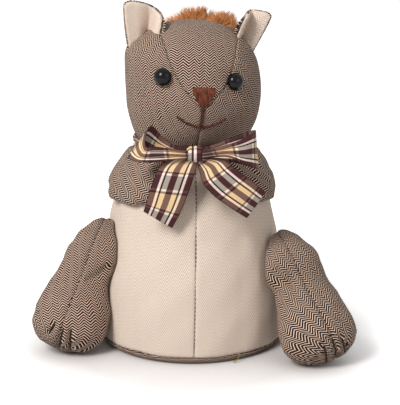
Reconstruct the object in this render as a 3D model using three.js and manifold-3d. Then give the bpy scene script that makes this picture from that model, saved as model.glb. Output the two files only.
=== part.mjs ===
// A weighted fabric door stop sewn as a sitting squirrel. Millimetres, +Z up, the face looks along -Y.
// The origin is the centre of the flat base, on the floor.
// "left" is the side at -X, which is on the left for someone who looks at the face.
import * as THREE from "three";
import { mergeVertices } from "three/addons/utils/BufferGeometryUtils.js";
import Module from "manifold-3d";

const wasm = await Module();
wasm.setup();

// Cloth and clearances
const CLOTH = 1.5; // thickness of the tweed and the linen
const SEAM_GAP = 0.3; // between two panels at a seam
const TOUCH_GAP = 0.3; // between two pieces that lie on each other

// Body cover: a bell on a round base
const REST_RADIUS = 69; // flat part of the base, on the floor
const RIM_RADIUS = 76;
const RIM_HEIGHT = 5.5; // seam between the wall and the base panel
const CHEST_RADIUS = 65.5;
const CHEST_HEIGHT = 95;
const SHOULDER_RADIUS = 50;
const SHOULDER_HEIGHT = 142;
const NECK_RADIUS = 37;
const NECK_HEIGHT = 161;
const FRONT_SEAM_ANGLE = 2; // degrees from the front, towards +X
const SIDE_SEAM_ANGLE = 104; // degrees from the front to each side seam

// Weight and filling
const SAND_HEIGHT = 52;
const SAND_MARGIN = 4; // from the inside of the cover to the sand bag's side

// Head: a stuffed ball, turned and tilted on the neck
const HEAD_WIDTH = 104;
const HEAD_DEPTH = 98;
const HEAD_FULLNESS = 2.25; // 2 is an ellipsoid, more is squarer
const CROWN_HEIGHT = 47.5; // from the widest level up
const JAW_DEPTH = 58; // from the widest level down
const HEAD_SINK = 11; // how far the neck reaches into the ball
const HEAD_FORWARD = 6;
const HEAD_SHIFT = 0.8; // towards +X
const HEAD_TURN = 9.5; // degrees towards +X
const HEAD_TILT = 4.3; // degrees, crown towards +X
const MUZZLE_BULGE = 4.5;
const JAW_FULLNESS = 0.34; // share of the width added at the neck end
const GUSSET_WIDTH = 62; // forehead panel, at the crown
const GUSSET_BROW_WIDTH = 40; // at the level of the eyes
const GUSSET_NOSE_WIDTH = 18; // at the nose
const GUSSET_START = -3; // degrees from the face's axis up over the crown, under the nose
const GUSSET_END = 218; // at the nape

// Face
const EYE_DIAMETER = 13.5;
const EYE_SPACING = 54;
const EYE_SHIFT = -3; // both eyes, from the middle of the face
const EYE_LEVEL = 10.5; // above the middle of the head
const EYE_DOME = 6; // height of the dome
const STEM_DIAMETER = 4;
const WASHER_DIAMETER = 16;
const WASHER_THICKNESS = 2;
const NOSE_WIDTH = 18.5;
const NOSE_HEIGHT = 16;
const NOSE_LEVEL = 5.5; // top edge of the nose, above the middle of the head
const STITCH_RAISE = 1.6; // satin stitch above the cloth
const MOUTH_WIDTH = 37;
const MOUTH_DROP = 14; // from the nose's point to the lip
const MOUTH_THREAD = 2;
const SMILE_RISE = 7;

// Ears: the outer edge is the higher one, and the inner edge is folded forwards
const EAR_CLOTH = 1.8;
const EAR_FOLD = 9; // how far the inner edge stands forward
const EAR_SEAM = 3; // length sewn in at the root
const LEFT_EAR_HEIGHT = 43;
const RIGHT_EAR_HEIGHT = 32;
// roots: degrees from the crown to both ends of the root. innerShare: the inner edge's share of the height.
const EARS = {
  left: { side: -1, roots: [40, 76], lean: 15, height: LEFT_EAR_HEIGHT, innerShare: 0.36 },
  right: { side: 1, roots: [34, 65], lean: 25, height: RIGHT_EAR_HEIGHT, innerShare: 0.58 },
};

// Arms: flat pads sewn in at the neck and bent round the chest
const ARM_WIDTH = 44;
const ARM_THICKNESS = 12;
const ARM_DROP = 25; // from the top of the neck to the middle of the arm at the side
const ARM_RISE = 7; // the paw is higher than the middle by this
const ARM_PAW_ANGLE = 8; // degrees from the front
const ARM_BACK_ANGLE = 128;

// Legs: padded, sewn on at the hip, feet on the floor. The point given is the end of the leg's middle line.
const LEG_LENGTH = 114;
const FOOT_WIDTH = 57;
const THIGH_WIDTH = 42;
const LEG_THICKNESS = 44;
const LEG_CREASE = 1.6; // taken in at the ankle
const TOE_SLIT_DEPTH = 4;
const TOE_SLIT_WIDTH = 1.6;
const TOE_SLIT_LENGTH = 17;
const TOE_SPACING = 9.5;
const LEGS = {
  left: { side: -1, hip: [-70, -2], sole: [-101, -57] },
  right: { side: 1, hip: [70, -11], sole: [103, -85] },
};

// Tail: long pile cloth over a flat filling, standing behind the back
const TAIL_WIDTH = 95;
const TAIL_THICKNESS = 50;
const TAIL_TOP = 258;
const TAIL_LIFT = 3; // lowest point above the floor
const TAIL_CURL = 14; // how far the tip leans back from the head
const TAIL_SHIFT = -3; // towards +X, at the middle of its height
const LOCK_DEPTH = 3; // locks of pile

// Ribbon
const RIBBON_WIDTH = 28;
const RIBBON_THICKNESS = 0.8;
const COLLAR_RADIUS = 47; // outside of the gathered ribbon that goes round the neck
const COLLAR_HEIGHT = 5;
const COLLAR_THICKNESS = 3.5;
const KNOT_WIDTH = 14;
const KNOT_HEIGHT = 14;
const KNOT_DEPTH = 10;
const LOOP_REACH = 44; // from the knot to the fold at the end of a loop
const LOOP_OPEN = 11; // between the two layers of a loop
const TAIL_END_DROP = 50; // from the knot to the cut end of the left ribbon tail

const BODY_SIDES = 28; // facets round the body
const HEAD_FACETS = [22, 11]; // round the ball and down it
const ARM_FACETS = [10, 12];
const LEG_FACETS = [16, 14];
const TAIL_FACETS = [22, 14];
const BIG = 2000; // beyond any size of the object
const RADIAN = Math.PI / 180;
const UP = new THREE.Vector3(0, 0, 1);
const vec = (x, y, z) => new THREE.Vector3(x, y, z);
const mix = THREE.MathUtils.lerp;
const smooth = THREE.MathUtils.smoothstep;

// Geometry to solid and back

function mergedMesh(geometry) {
  const bare = new THREE.BufferGeometry();
  bare.setAttribute("position", geometry.getAttribute("position"));
  if (geometry.index) bare.setIndex(geometry.index);
  return mergeVertices(bare, 1e-4);
}

function solid(geometry) {
  const merged = mergedMesh(geometry);
  const corners = merged.index.array;
  const kept = [];
  for (let i = 0; i < corners.length; i += 3) {
    const [a, b, c] = [corners[i], corners[i + 1], corners[i + 2]];
    if (a !== b && b !== c && c !== a) kept.push(a, b, c);
  }
  return new wasm.Manifold(
    new wasm.Mesh({
      numProp: 3,
      vertProperties: merged.getAttribute("position").array,
      triVerts: new Uint32Array(kept),
    }),
  );
}

function geometryOf(manifold) {
  const mesh = manifold.getMesh();
  const geometry = new THREE.BufferGeometry();
  geometry.setAttribute(
    "position",
    new THREE.BufferAttribute(new Float32Array(mesh.vertProperties), 3),
  );
  geometry.setIndex(new THREE.BufferAttribute(new Uint32Array(mesh.triVerts), 1));
  geometry.computeVertexNormals();
  return geometry;
}

// The largest piece of a solid: a cut can leave crumbs.
function mainPiece(manifold) {
  const pieces = manifold.decompose();
  return pieces.reduce((a, b) => (a.volume() > b.volume() ? a : b));
}

// The closed geometry with its faces turned to point out.
function faceOut(geometry) {
  if (solid(geometry).volume() > 0) return geometry;
  const merged = mergedMesh(geometry);
  const corners = merged.index.array;
  for (let i = 0; i < corners.length; i += 3) {
    [corners[i], corners[i + 1]] = [corners[i + 1], corners[i]];
  }
  return merged;
}

// The form with its skin moved out by distance along its smooth normals.
function grown(geometry, distance) {
  const merged = mergedMesh(geometry);
  merged.computeVertexNormals();
  const place = merged.getAttribute("position");
  const normal = merged.getAttribute("normal");
  for (let i = 0; i < place.count; i++) {
    place.setXYZ(
      i,
      place.getX(i) + normal.getX(i) * distance,
      place.getY(i) + normal.getY(i) * distance,
      place.getZ(i) + normal.getZ(i) * distance,
    );
  }
  return merged;
}

// A stuffed form: the unit ball, squared a little by fullness, then carried by place(x, y, z).
function stuffed(place, around, along, fullness = 2) {
  const geometry = new THREE.SphereGeometry(1, around, along).rotateX(Math.PI / 2);
  const points = geometry.getAttribute("position");
  for (let i = 0; i < points.count; i++) {
    const d = [points.getX(i), points.getY(i), points.getZ(i)];
    const power = d.reduce((sum, v) => sum + Math.abs(v) ** fullness, 0);
    const reach = power ** (-1 / fullness);
    const p = place(d[0] * reach, d[1] * reach, d[2] * reach);
    points.setXYZ(i, p.x, p.y, p.z);
  }
  return geometry;
}

// A sheet of cloth between two offsets from surface(u, v), along its normal. u and v run from 0 to 1.
function sheet(surface, columns, rows, from, to) {
  const step = 1e-3;
  const at = (i, j, offset) => {
    const u = i / columns;
    const v = j / rows;
    const alongU = surface(u + step, v).sub(surface(u - step, v));
    const alongV = surface(u, v + step).sub(surface(u, v - step));
    return surface(u, v).addScaledVector(alongU.cross(alongV).normalize(), offset);
  };
  const places = [];
  const faces = [];
  const stride = rows + 1;
  const layer = (columns + 1) * stride;
  for (const offset of [to, from]) {
    for (let i = 0; i <= columns; i++) {
      for (let j = 0; j <= rows; j++) places.push(...at(i, j, offset).toArray());
    }
  }
  const index = (i, j, back) => i * stride + j + back * layer;
  const quad = (a, b, c, d) => faces.push(a, b, c, a, c, d);
  for (let i = 0; i < columns; i++) {
    for (let j = 0; j < rows; j++) {
      quad(index(i, j, 0), index(i + 1, j, 0), index(i + 1, j + 1, 0), index(i, j + 1, 0));
      quad(index(i, j, 1), index(i, j + 1, 1), index(i + 1, j + 1, 1), index(i + 1, j, 1));
    }
  }
  for (let i = 0; i < columns; i++) {
    quad(index(i, 0, 0), index(i, 0, 1), index(i + 1, 0, 1), index(i + 1, 0, 0));
    quad(index(i, rows, 0), index(i + 1, rows, 0), index(i + 1, rows, 1), index(i, rows, 1));
  }
  for (let j = 0; j < rows; j++) {
    quad(index(0, j, 0), index(0, j + 1, 0), index(0, j + 1, 1), index(0, j, 1));
    quad(index(columns, j, 0), index(columns, j, 1), index(columns, j + 1, 1), index(columns, j + 1, 0));
  }
  const geometry = new THREE.BufferGeometry();
  geometry.setAttribute("position", new THREE.Float32BufferAttribute(places, 3));
  geometry.setIndex(faces);
  return faceOut(geometry);
}

function extruded(shape, depth, curveSegments = 5) {
  return new THREE.ExtrudeGeometry(shape, { depth, bevelEnabled: false, curveSegments });
}

// Body cover: outline of the bell from the middle of the base to the top of the neck

function bodyOutline() {
  const belly = mix(RIM_HEIGHT, CHEST_HEIGHT, 0.42);
  const path = new THREE.Path();
  path.moveTo(0, 0);
  path.lineTo(REST_RADIUS, 0);
  path.quadraticCurveTo(mix(REST_RADIUS, RIM_RADIUS, 0.9), 0, RIM_RADIUS, RIM_HEIGHT);
  path.bezierCurveTo(
    RIM_RADIUS + 1,
    belly,
    CHEST_RADIUS + 4.5,
    mix(belly, CHEST_HEIGHT, 0.6),
    CHEST_RADIUS,
    CHEST_HEIGHT,
  );
  path.quadraticCurveTo(
    mix(CHEST_RADIUS, SHOULDER_RADIUS, 0.28),
    mix(CHEST_HEIGHT, SHOULDER_HEIGHT, 0.6),
    SHOULDER_RADIUS,
    SHOULDER_HEIGHT,
  );
  path.quadraticCurveTo(
    mix(SHOULDER_RADIUS, NECK_RADIUS, 0.5),
    mix(SHOULDER_HEIGHT, NECK_HEIGHT, 0.62),
    NECK_RADIUS,
    mix(SHOULDER_HEIGHT, NECK_HEIGHT, 0.8),
  );
  path.lineTo(NECK_RADIUS, NECK_HEIGHT);
  path.lineTo(0, NECK_HEIGHT);
  return path;
}

const OUTLINE = bodyOutline().getPoints(4);

function bodyRadius(height) {
  for (let i = 2; i < OUTLINE.length - 1; i++) {
    const [low, high] = [OUTLINE[i - 1], OUTLINE[i]];
    if (high.y >= height && high.y > low.y) {
      return mix(low.x, high.x, THREE.MathUtils.clamp((height - low.y) / (high.y - low.y), 0, 1));
    }
  }
  return NECK_RADIUS;
}

function turned(points, around = BODY_SIDES) {
  return new THREE.LatheGeometry(points, around).rotateX(Math.PI / 2);
}

// The bell with its outline moved square to itself, inwards for a negative distance.
function bodyForm(distance, around = BODY_SIDES) {
  const square = (a, b) => new THREE.Vector2(b.y - a.y, a.x - b.x).normalize();
  const last = OUTLINE.length - 1;
  const moved = OUTLINE.map((p, i) => {
    const below = i > 0 ? square(OUTLINE[i - 1], p) : new THREE.Vector2(0, -1);
    const above = i < last ? square(p, OUTLINE[i + 1]) : new THREE.Vector2(0, 1);
    const between = below.clone().add(above).normalize();
    const spot = p.clone().addScaledVector(between, distance / between.dot(below));
    spot.x = i === 0 || i === last ? 0 : spot.x;
    return spot;
  });
  return solid(turned(moved, around));
}

function slab(low, high) {
  const box = new THREE.BoxGeometry(BIG, BIG, high - low);
  return solid(box.translate(0, 0, (low + high) / 2));
}

// Upright prism over the sector between two angles from the front. Both its faces are drawn back by half
// a seam gap.
function sector(from, to) {
  const shape = new THREE.Shape();
  const middle = ((from + to) / 2) * RADIAN;
  const half = ((to - from) / 2) * RADIAN;
  const back = SEAM_GAP / 2 / Math.sin(half);
  const spot = (angle, reach) => [
    Math.sin(angle) * reach + Math.sin(middle) * back,
    -Math.cos(angle) * reach - Math.cos(middle) * back,
  ];
  shape.moveTo(...spot(0, 0));
  for (const share of [0, 0.25, 0.5, 0.75, 1]) {
    shape.lineTo(...spot(middle - half + 2 * half * share, BIG / 4));
  }
  return solid(extruded(shape, BIG).translate(0, 0, -BIG / 2));
}

const bodyOuter = bodyForm(0);
const bodyInner = bodyForm(-CLOTH);
const bodyKeepOut = bodyForm(TOUCH_GAP);
const neckOpening = solid(
  new THREE.CylinderGeometry(NECK_RADIUS - CLOTH, NECK_RADIUS - CLOTH, 4 * CLOTH, BODY_SIDES)
    .rotateX(Math.PI / 2)
    .translate(0, 0, NECK_HEIGHT),
);
const bodyShell = bodyOuter.subtract(bodyInner).subtract(neckOpening);
const bodyWall = bodyShell.intersect(slab(RIM_HEIGHT + SEAM_GAP / 2, BIG));

function bodyPanel(from, to) {
  return mainPiece(bodyWall.intersect(sector(from, to)));
}

function basePanel() {
  return mainPiece(bodyShell.intersect(slab(-BIG, RIM_HEIGHT - SEAM_GAP / 2)));
}

function sandBag() {
  const radius = REST_RADIUS - CLOTH - TOUCH_GAP;
  const wide = bodyRadius(SAND_HEIGHT / 2) - CLOTH - SAND_MARGIN;
  const low = CLOTH + TOUCH_GAP;
  const path = new THREE.Path();
  path.moveTo(0, low);
  path.lineTo(radius - SAND_MARGIN, low);
  path.bezierCurveTo(wide, low, wide, SAND_HEIGHT, mix(0, wide, 0.7), SAND_HEIGHT);
  path.quadraticCurveTo(wide * 0.35, SAND_HEIGHT + 2, 0, SAND_HEIGHT + 2);
  return solid(turned(path.getPoints(3), BODY_SIDES / 2));
}

function bodyFilling(bag) {
  const room = bodyForm(-CLOTH - 3 * TOUCH_GAP, BODY_SIDES / 2);
  const above = slab(RIM_HEIGHT + CLOTH + TOUCH_GAP, BIG);
  const spare = solid(grown(geometryOf(bag), TOUCH_GAP));
  return mainPiece(room.intersect(above).subtract(spare));
}

// Head: its own frame has the face along -Y and the middle of the ball at the origin

const HEAD_MIDDLE = vec(HEAD_SHIFT, -HEAD_FORWARD, NECK_HEIGHT - HEAD_SINK + JAW_DEPTH);
const headMatrix = new THREE.Matrix4().compose(
  HEAD_MIDDLE,
  new THREE.Quaternion().setFromEuler(new THREE.Euler(0, HEAD_TILT * RADIAN, HEAD_TURN * RADIAN, "YZX")),
  vec(1, 1, 1),
);

function headPlace(x, y, z) {
  const muzzle = Math.exp(-((x / 0.42) ** 2) - ((z + 0.25) / 0.4) ** 2) * smooth(-y, 0, 0.5);
  const jaw = z < 0 ? 1 + JAW_FULLNESS * z ** 4 : 1;
  return vec(
    (x * jaw * HEAD_WIDTH) / 2,
    (y * jaw * HEAD_DEPTH) / 2 - muzzle * MUZZLE_BULGE,
    z * (z < 0 ? JAW_DEPTH : CROWN_HEIGHT),
  );
}

const headSkin = stuffed(headPlace, ...HEAD_FACETS, HEAD_FULLNESS);

function headForm(distance) {
  return solid(grown(headSkin, distance));
}

// The point of the head's skin straight behind (x, z) of the face.
function onFace(x, z) {
  const up = z / (z < 0 ? JAW_DEPTH : CROWN_HEIGHT);
  const jaw = up < 0 ? 1 + JAW_FULLNESS * up ** 4 : 1;
  const across = x / jaw / (HEAD_WIDTH / 2);
  const rest = 1 - Math.abs(across) ** HEAD_FULLNESS - Math.abs(up) ** HEAD_FULLNESS;
  return headPlace(across, -(Math.max(rest, 0) ** (1 / HEAD_FULLNESS)), up);
}

// The forehead panel runs from the nose over the crown to the nape. turn is 0 at the nose and 1 at the nape.
const gussetOutline = new THREE.SplineCurve([
  new THREE.Vector2(0, GUSSET_NOSE_WIDTH / 2),
  new THREE.Vector2(0.08, GUSSET_BROW_WIDTH / 2),
  new THREE.Vector2(0.22, mix(GUSSET_BROW_WIDTH, GUSSET_WIDTH, 0.55) / 2),
  new THREE.Vector2(0.42, GUSSET_WIDTH / 2),
  new THREE.Vector2(0.7, mix(GUSSET_NOSE_WIDTH, GUSSET_WIDTH, 0.65) / 2),
  new THREE.Vector2(1, GUSSET_NOSE_WIDTH / 2),
]);

function gussetWedge(extra) {
  const steps = 14;
  const middle = (u, v) => {
    const angle = mix(GUSSET_START, GUSSET_END, u) * RADIAN;
    const reach = mix(CROWN_HEIGHT / 2, CROWN_HEIGHT * 2, v);
    return vec(0, -Math.cos(angle) * reach, Math.sin(angle) * reach);
  };
  const places = [];
  const faces = [];
  for (let i = 0; i <= steps; i++) {
    const { x: turn, y: half } = gussetOutline.getPoint(i / steps);
    for (const [side, v] of [[-1, 0], [1, 0], [1, 1], [-1, 1]]) {
      const p = middle(turn, v);
      places.push(side * (half + extra), p.y, p.z);
    }
  }
  for (let i = 0; i < steps; i++) {
    for (let k = 0; k < 4; k++) {
      const [a, b] = [i * 4 + k, i * 4 + ((k + 1) % 4)];
      faces.push(a, b, b + 4, a, b + 4, a + 4);
    }
  }
  const last = steps * 4;
  faces.push(0, 2, 1, 0, 3, 2, last, last + 1, last + 2, last, last + 2, last + 3);
  const geometry = new THREE.BufferGeometry();
  geometry.setAttribute("position", new THREE.Float32BufferAttribute(places, 3));
  geometry.setIndex(faces);
  return solid(faceOut(geometry));
}

const inHead = (manifold) => manifold.transform(headMatrix.elements);
const inHeadBack = new THREE.Matrix4().copy(headMatrix).invert();

// Eyes

function eyeFrame(side) {
  const x = (side * EYE_SPACING) / 2 + EYE_SHIFT;
  const reach = 2;
  const spot = onFace(x, EYE_LEVEL);
  const across = onFace(x + reach, EYE_LEVEL).sub(onFace(x - reach, EYE_LEVEL));
  const rise = onFace(x, EYE_LEVEL + reach).sub(onFace(x, EYE_LEVEL - reach));
  const turn = new THREE.Quaternion().setFromUnitVectors(UP, across.cross(rise).normalize());
  return new THREE.Matrix4().compose(spot, turn, vec(1, 1, 1));
}

function eyeSolid(side) {
  const radius = EYE_DIAMETER / 2;
  const stem = STEM_DIAMETER / 2;
  const inner = -CLOTH - WASHER_THICKNESS - 5;
  const path = new THREE.Path();
  path.moveTo(0, inner);
  path.lineTo(stem, inner);
  path.lineTo(stem, TOUCH_GAP);
  path.lineTo(radius, TOUCH_GAP);
  path.bezierCurveTo(radius, EYE_DOME * 0.5, radius * 0.62, EYE_DOME, 0, EYE_DOME);
  return solid(turned(path.getPoints(4), 14).applyMatrix4(eyeFrame(side)));
}

// A drilled length round the eye's axis, from low to high.
function eyeBarrel(side, radius, low, high) {
  const barrel = new THREE.CylinderGeometry(radius, radius, high - low, 10);
  return solid(barrel.rotateX(Math.PI / 2).translate(0, 0, (low + high) / 2).applyMatrix4(eyeFrame(side)));
}

const washerTop = -CLOTH - 1.6; // below the inside of the cloth, which is curved
const stemHole = STEM_DIAMETER / 2 + TOUCH_GAP;

function eyeWasher(side) {
  const low = washerTop - WASHER_THICKNESS;
  const disc = eyeBarrel(side, WASHER_DIAMETER / 2, low, washerTop);
  return disc.subtract(eyeBarrel(side, stemHole, low - 1, washerTop + 1));
}

const sides = { left: -1, right: 1 };
const headNeckRoom = bodyKeepOut.transform(inHeadBack.elements);
let headShell = headForm(0).subtract(headForm(-CLOTH)).subtract(headNeckRoom);
for (const side of Object.values(sides)) {
  headShell = headShell.subtract(eyeBarrel(side, stemHole, -3 * CLOTH, CLOTH));
}

function headGusset() {
  return inHead(mainPiece(headShell.intersect(gussetWedge(-SEAM_GAP / 2))));
}

function headSide(side) {
  const half = solid(new THREE.BoxGeometry(BIG, BIG, BIG).translate((side * (BIG + SEAM_GAP)) / 2, 0, 0));
  return inHead(mainPiece(headShell.subtract(gussetWedge(SEAM_GAP / 2)).intersect(half)));
}

function headFilling() {
  const coarse = stuffed(headPlace, 12, 6, HEAD_FULLNESS);
  let pad = solid(grown(coarse, -CLOTH - 4 * TOUCH_GAP)).subtract(headNeckRoom);
  for (const side of Object.values(sides)) {
    const low = washerTop - WASHER_THICKNESS - 6;
    pad = pad.subtract(eyeBarrel(side, WASHER_DIAMETER / 2 + 1, low, CLOTH));
  }
  return inHead(mainPiece(pad));
}

// Nose and mouth: satin stitch, so a low pad that follows the face

function stitched(shape) {
  const prism = solid(extruded(shape, HEAD_DEPTH).rotateX(Math.PI / 2));
  const layer = headForm(TOUCH_GAP + STITCH_RAISE).subtract(headForm(TOUCH_GAP));
  return layer.intersect(prism);
}

function noseShape() {
  const half = NOSE_WIDTH / 2;
  const low = NOSE_LEVEL - NOSE_HEIGHT;
  const shape = new THREE.Shape();
  const corner = mix(NOSE_LEVEL, low, 0.25);
  shape.moveTo(-half * 0.7, NOSE_LEVEL);
  shape.lineTo(half * 0.7, NOSE_LEVEL);
  shape.quadraticCurveTo(half * 1.05, NOSE_LEVEL, half * 0.95, corner);
  shape.quadraticCurveTo(half * 0.8, mix(NOSE_LEVEL, low, 0.7), 0, low);
  shape.quadraticCurveTo(-half * 0.8, mix(NOSE_LEVEL, low, 0.7), -half * 0.95, corner);
  shape.quadraticCurveTo(-half * 1.05, NOSE_LEVEL, -half * 0.7, NOSE_LEVEL);
  return shape;
}

function mouthShape() {
  const top = NOSE_LEVEL - NOSE_HEIGHT - TOUCH_GAP;
  const lip = NOSE_LEVEL - NOSE_HEIGHT - MOUTH_DROP;
  const half = MOUTH_WIDTH / 2;
  const thread = MOUTH_THREAD / 2;
  const shape = new THREE.Shape();
  shape.moveTo(-thread * 0.8, top);
  shape.lineTo(-thread * 0.8, lip + thread);
  shape.quadraticCurveTo(-half * 0.6, lip + thread + SMILE_RISE * 0.1, -half, lip + SMILE_RISE);
  shape.quadraticCurveTo(-half * 0.5, lip - thread, 0, lip - thread);
  shape.quadraticCurveTo(half * 0.5, lip - thread, half, lip + SMILE_RISE);
  shape.quadraticCurveTo(half * 0.6, lip + thread + SMILE_RISE * 0.1, thread * 0.8, lip + thread);
  shape.lineTo(thread * 0.8, top);
  return shape;
}

// Ears: a tweed back and a linen lining, cupped forwards and sewn into the gusset seam

function earSurface({ side, roots, lean, height, innerShare }) {
  const root = (angle) =>
    vec((side * Math.sin(angle * RADIAN) * HEAD_WIDTH) / 2, 0, Math.cos(angle * RADIAN) * CROWN_HEIGHT);
  const sunk = 0.95; // the root lies inside the head, and is cut off at its skin
  const inner = root(roots[0]).multiplyScalar(sunk);
  const outer = root(roots[1]).multiplyScalar(sunk);
  return (u, v) => {
    const across = 0.5 + (u - 0.5) * (1 - 0.1 * v ** 3);
    const rise = height * mix(innerShare, 1, across) + height * 0.25 * across * (1 - across);
    const corner = 1 - 0.12 * Math.abs(2 * u - 1) ** 4;
    const slant = (lean * mix(0.35, 1, across) * side) * RADIAN;
    const reach = v * corner * (rise + EAR_SEAM);
    const fold = EAR_FOLD * smooth(1 - u, 0.45, 1) * mix(1, 0.7, v) + EAR_FOLD * 0.3 * (2 * u - 1) ** 4;
    return inner
      .clone()
      .lerp(outer, across)
      .add(vec(Math.sin(slant) * reach, -fold - 1, Math.cos(slant) * reach));
  };
}

const headKeepOut = headForm(TOUCH_GAP);

function earPanel(spec, lining) {
  const near = TOUCH_GAP / 2;
  const far = near + EAR_CLOTH;
  const [from, to] = lining ? [near, far] : [-far, -near];
  const made = solid(sheet(earSurface(spec), 7, 4, from * spec.side, to * spec.side));
  return inHead(mainPiece(made.subtract(headKeepOut)));
}

// Arms

function armPlace(side) {
  const middle = ((ARM_PAW_ANGLE + ARM_BACK_ANGLE) / 2) * RADIAN;
  const half = ((ARM_BACK_ANGLE - ARM_PAW_ANGLE) / 2) * RADIAN;
  return (x, y, z) => {
    const angle = middle + y * half;
    const rise = ARM_RISE * smooth(-y, -0.2, 1) + (z * ARM_WIDTH * (0.92 - 0.08 * y)) / 2;
    const level = NECK_HEIGHT - ARM_DROP + rise;
    const radius = bodyRadius(level) + ARM_THICKNESS * (0.42 + 0.5 * x);
    return vec(side * Math.sin(angle) * radius, -Math.cos(angle) * radius, level);
  };
}

function armSkin(side) {
  return faceOut(stuffed(armPlace(side), ...ARM_FACETS, 3.2));
}

const headInPlace = inHead(headForm(TOUCH_GAP));

function arm(side) {
  return mainPiece(solid(armSkin(side)).subtract(bodyKeepOut).subtract(headInPlace));
}

// Legs: the leg's own frame has the sole end at -Z, the front along -Y and +X away from the body.
// Half-widths down the leg, from the hip end (0) to the sole end (1).
const legOutline = new THREE.SplineCurve(
  [
    [0, 0],
    [0.025, 0.17 * THIGH_WIDTH],
    [0.11, 0.31 * THIGH_WIDTH],
    [0.21, 0.42 * THIGH_WIDTH],
    [0.33, 0.485 * THIGH_WIDTH],
    [0.43, 0.52 * THIGH_WIDTH],
    [0.54, 0.46 * FOOT_WIDTH],
    [0.67, 0.495 * FOOT_WIDTH],
    [0.78, 0.5 * FOOT_WIDTH],
    [0.88, 0.475 * FOOT_WIDTH],
    [0.95, 0.35 * FOOT_WIDTH],
    [0.985, 0.18 * FOOT_WIDTH],
    [1, 0],
  ].map(([down, half]) => new THREE.Vector2(down, half)),
);

function legPlace(x, y, z) {
  const turn = Math.hypot(x, y) || 1;
  const { x: down, y: half } = legOutline.getPoint(Math.acos(THREE.MathUtils.clamp(z, -1, 1)) / Math.PI);
  const crease = LEG_CREASE * Math.exp(-(((down - 0.47) / 0.05) ** 2));
  const ratio = LEG_THICKNESS / FOOT_WIDTH;
  return vec((x / turn) * (half - crease), (y / turn) * (half * ratio - crease), LEG_LENGTH * (0.5 - down));
}

const legSkin = stuffed(legPlace, ...LEG_FACETS);

// The leg's frame in the part, resting on the floor.
function legMatrix({ side, hip, sole }) {
  const middle = vec((hip[0] + sole[0]) / 2, (hip[1] + sole[1]) / 2, 0);
  const lean = vec(hip[0] - sole[0], hip[1] - sole[1], 0);
  lean.z = Math.sqrt(Math.max(LEG_LENGTH ** 2 - lean.lengthSq(), 1));
  const axis = lean.normalize();
  const out = vec(side, 0, 0).projectOnPlane(axis).normalize();
  const back = axis.clone().cross(out).multiplyScalar(side);
  const basis = new THREE.Matrix4().makeBasis(out, back, axis);
  const leaning = legSkin.clone().applyMatrix4(basis);
  leaning.computeBoundingBox();
  middle.z = -leaning.boundingBox.min.z;
  return basis.clone().setPosition(middle);
}

function toeSlit(place) {
  const across = FOOT_WIDTH * 0.05 + place * TOE_SPACING;
  const skin = (LEG_THICKNESS / 2) * Math.sqrt(Math.max(1 - (across / (FOOT_WIDTH / 2)) ** 2, 0.05));
  const blade = new THREE.BoxGeometry(TOE_SLIT_WIDTH, 2 * TOE_SLIT_DEPTH, TOE_SLIT_LENGTH);
  blade.rotateX(-0.5).rotateY(place * -0.2);
  return solid(blade.translate(across, -skin * 0.93, LEG_LENGTH * -0.385));
}

function leg(spec) {
  const matrix = legMatrix(spec);
  let made = solid(faceOut(legSkin.clone().applyMatrix4(matrix)));
  for (const place of [-1, 0, 1]) made = made.subtract(toeSlit(place).transform(matrix.elements));
  return mainPiece(made.subtract(bodyKeepOut));
}

// Tail

// The front of the tail at a share of its height: on the back of the base, then on the back of the head.
function tailFront(up) {
  const low = RIM_RADIUS + TOUCH_GAP;
  const high = HEAD_DEPTH / 2 - HEAD_FORWARD + TOUCH_GAP;
  return mix(low, high, smooth(up, 0.08, 0.7)) + TAIL_CURL * smooth(up, 0.72, 1);
}

function tailPlace(x, y, z) {
  const up = (z + 1) / 2;
  const height = mix(TAIL_LIFT, TAIL_TOP, up);
  const width = mix(0.62, 1, smooth(up, 0, 0.45)) * mix(1, 0.9, smooth(up, 0.7, 1));
  const middle = tailFront(up) + TAIL_THICKNESS * 0.46;
  const locks = LOCK_DEPTH * Math.sin(5 * Math.atan2(y, x) + 4 * up) * Math.sin(up * 15);
  const reach = 1 + locks / (TAIL_WIDTH / 2);
  const shift = TAIL_SHIFT * (1 - 3.5 * smooth(up, 0.6, 1));
  return vec(shift + (x * reach * width * TAIL_WIDTH) / 2, middle + (y * reach * TAIL_THICKNESS) / 2, height);
}

function tail(others) {
  let made = solid(stuffed(tailPlace, ...TAIL_FACETS, 2.6)).subtract(bodyKeepOut).subtract(headInPlace);
  for (const other of others) made = made.subtract(solid(grown(geometryOf(other), TOUCH_GAP)));
  return mainPiece(made.subtract(slab(-BIG, TAIL_LIFT / 2)));
}

// Ribbon: one length, gathered round the neck and tied in a bow

const knotMiddle = vec(3.5, -(COLLAR_RADIUS + KNOT_DEPTH * 1.5), NECK_HEIGHT + 2);

// A strip of ribbon. stations: [middle point, direction across, share of the full width]. slant moves one
// corner of the cut end.
function ribbonStrip(stations, columns, slant = 0) {
  const curve = new THREE.CatmullRomCurve3(stations.map(([point]) => point));
  const across = new THREE.CatmullRomCurve3(stations.map(([, lean]) => lean.clone().normalize()));
  const widths = new THREE.SplineCurve(stations.map(([, , share], i) => new THREE.Vector2(i, share)));
  const surface = (u, v) => {
    const t = THREE.MathUtils.clamp(u, 0, 1);
    const half = (widths.getPoint(t).y * RIBBON_WIDTH) / 2;
    const over = (u - t) * 100 + slant * (v - 0.5) * RIBBON_WIDTH * t ** 3;
    return curve
      .getPoint(t)
      .addScaledVector(curve.getTangent(t), over)
      .addScaledVector(across.getPoint(t).normalize(), (v - 0.5) * 2 * half);
  };
  return solid(sheet(surface, columns, 2, -RIBBON_THICKNESS / 2, RIBBON_THICKNESS / 2));
}

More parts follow.
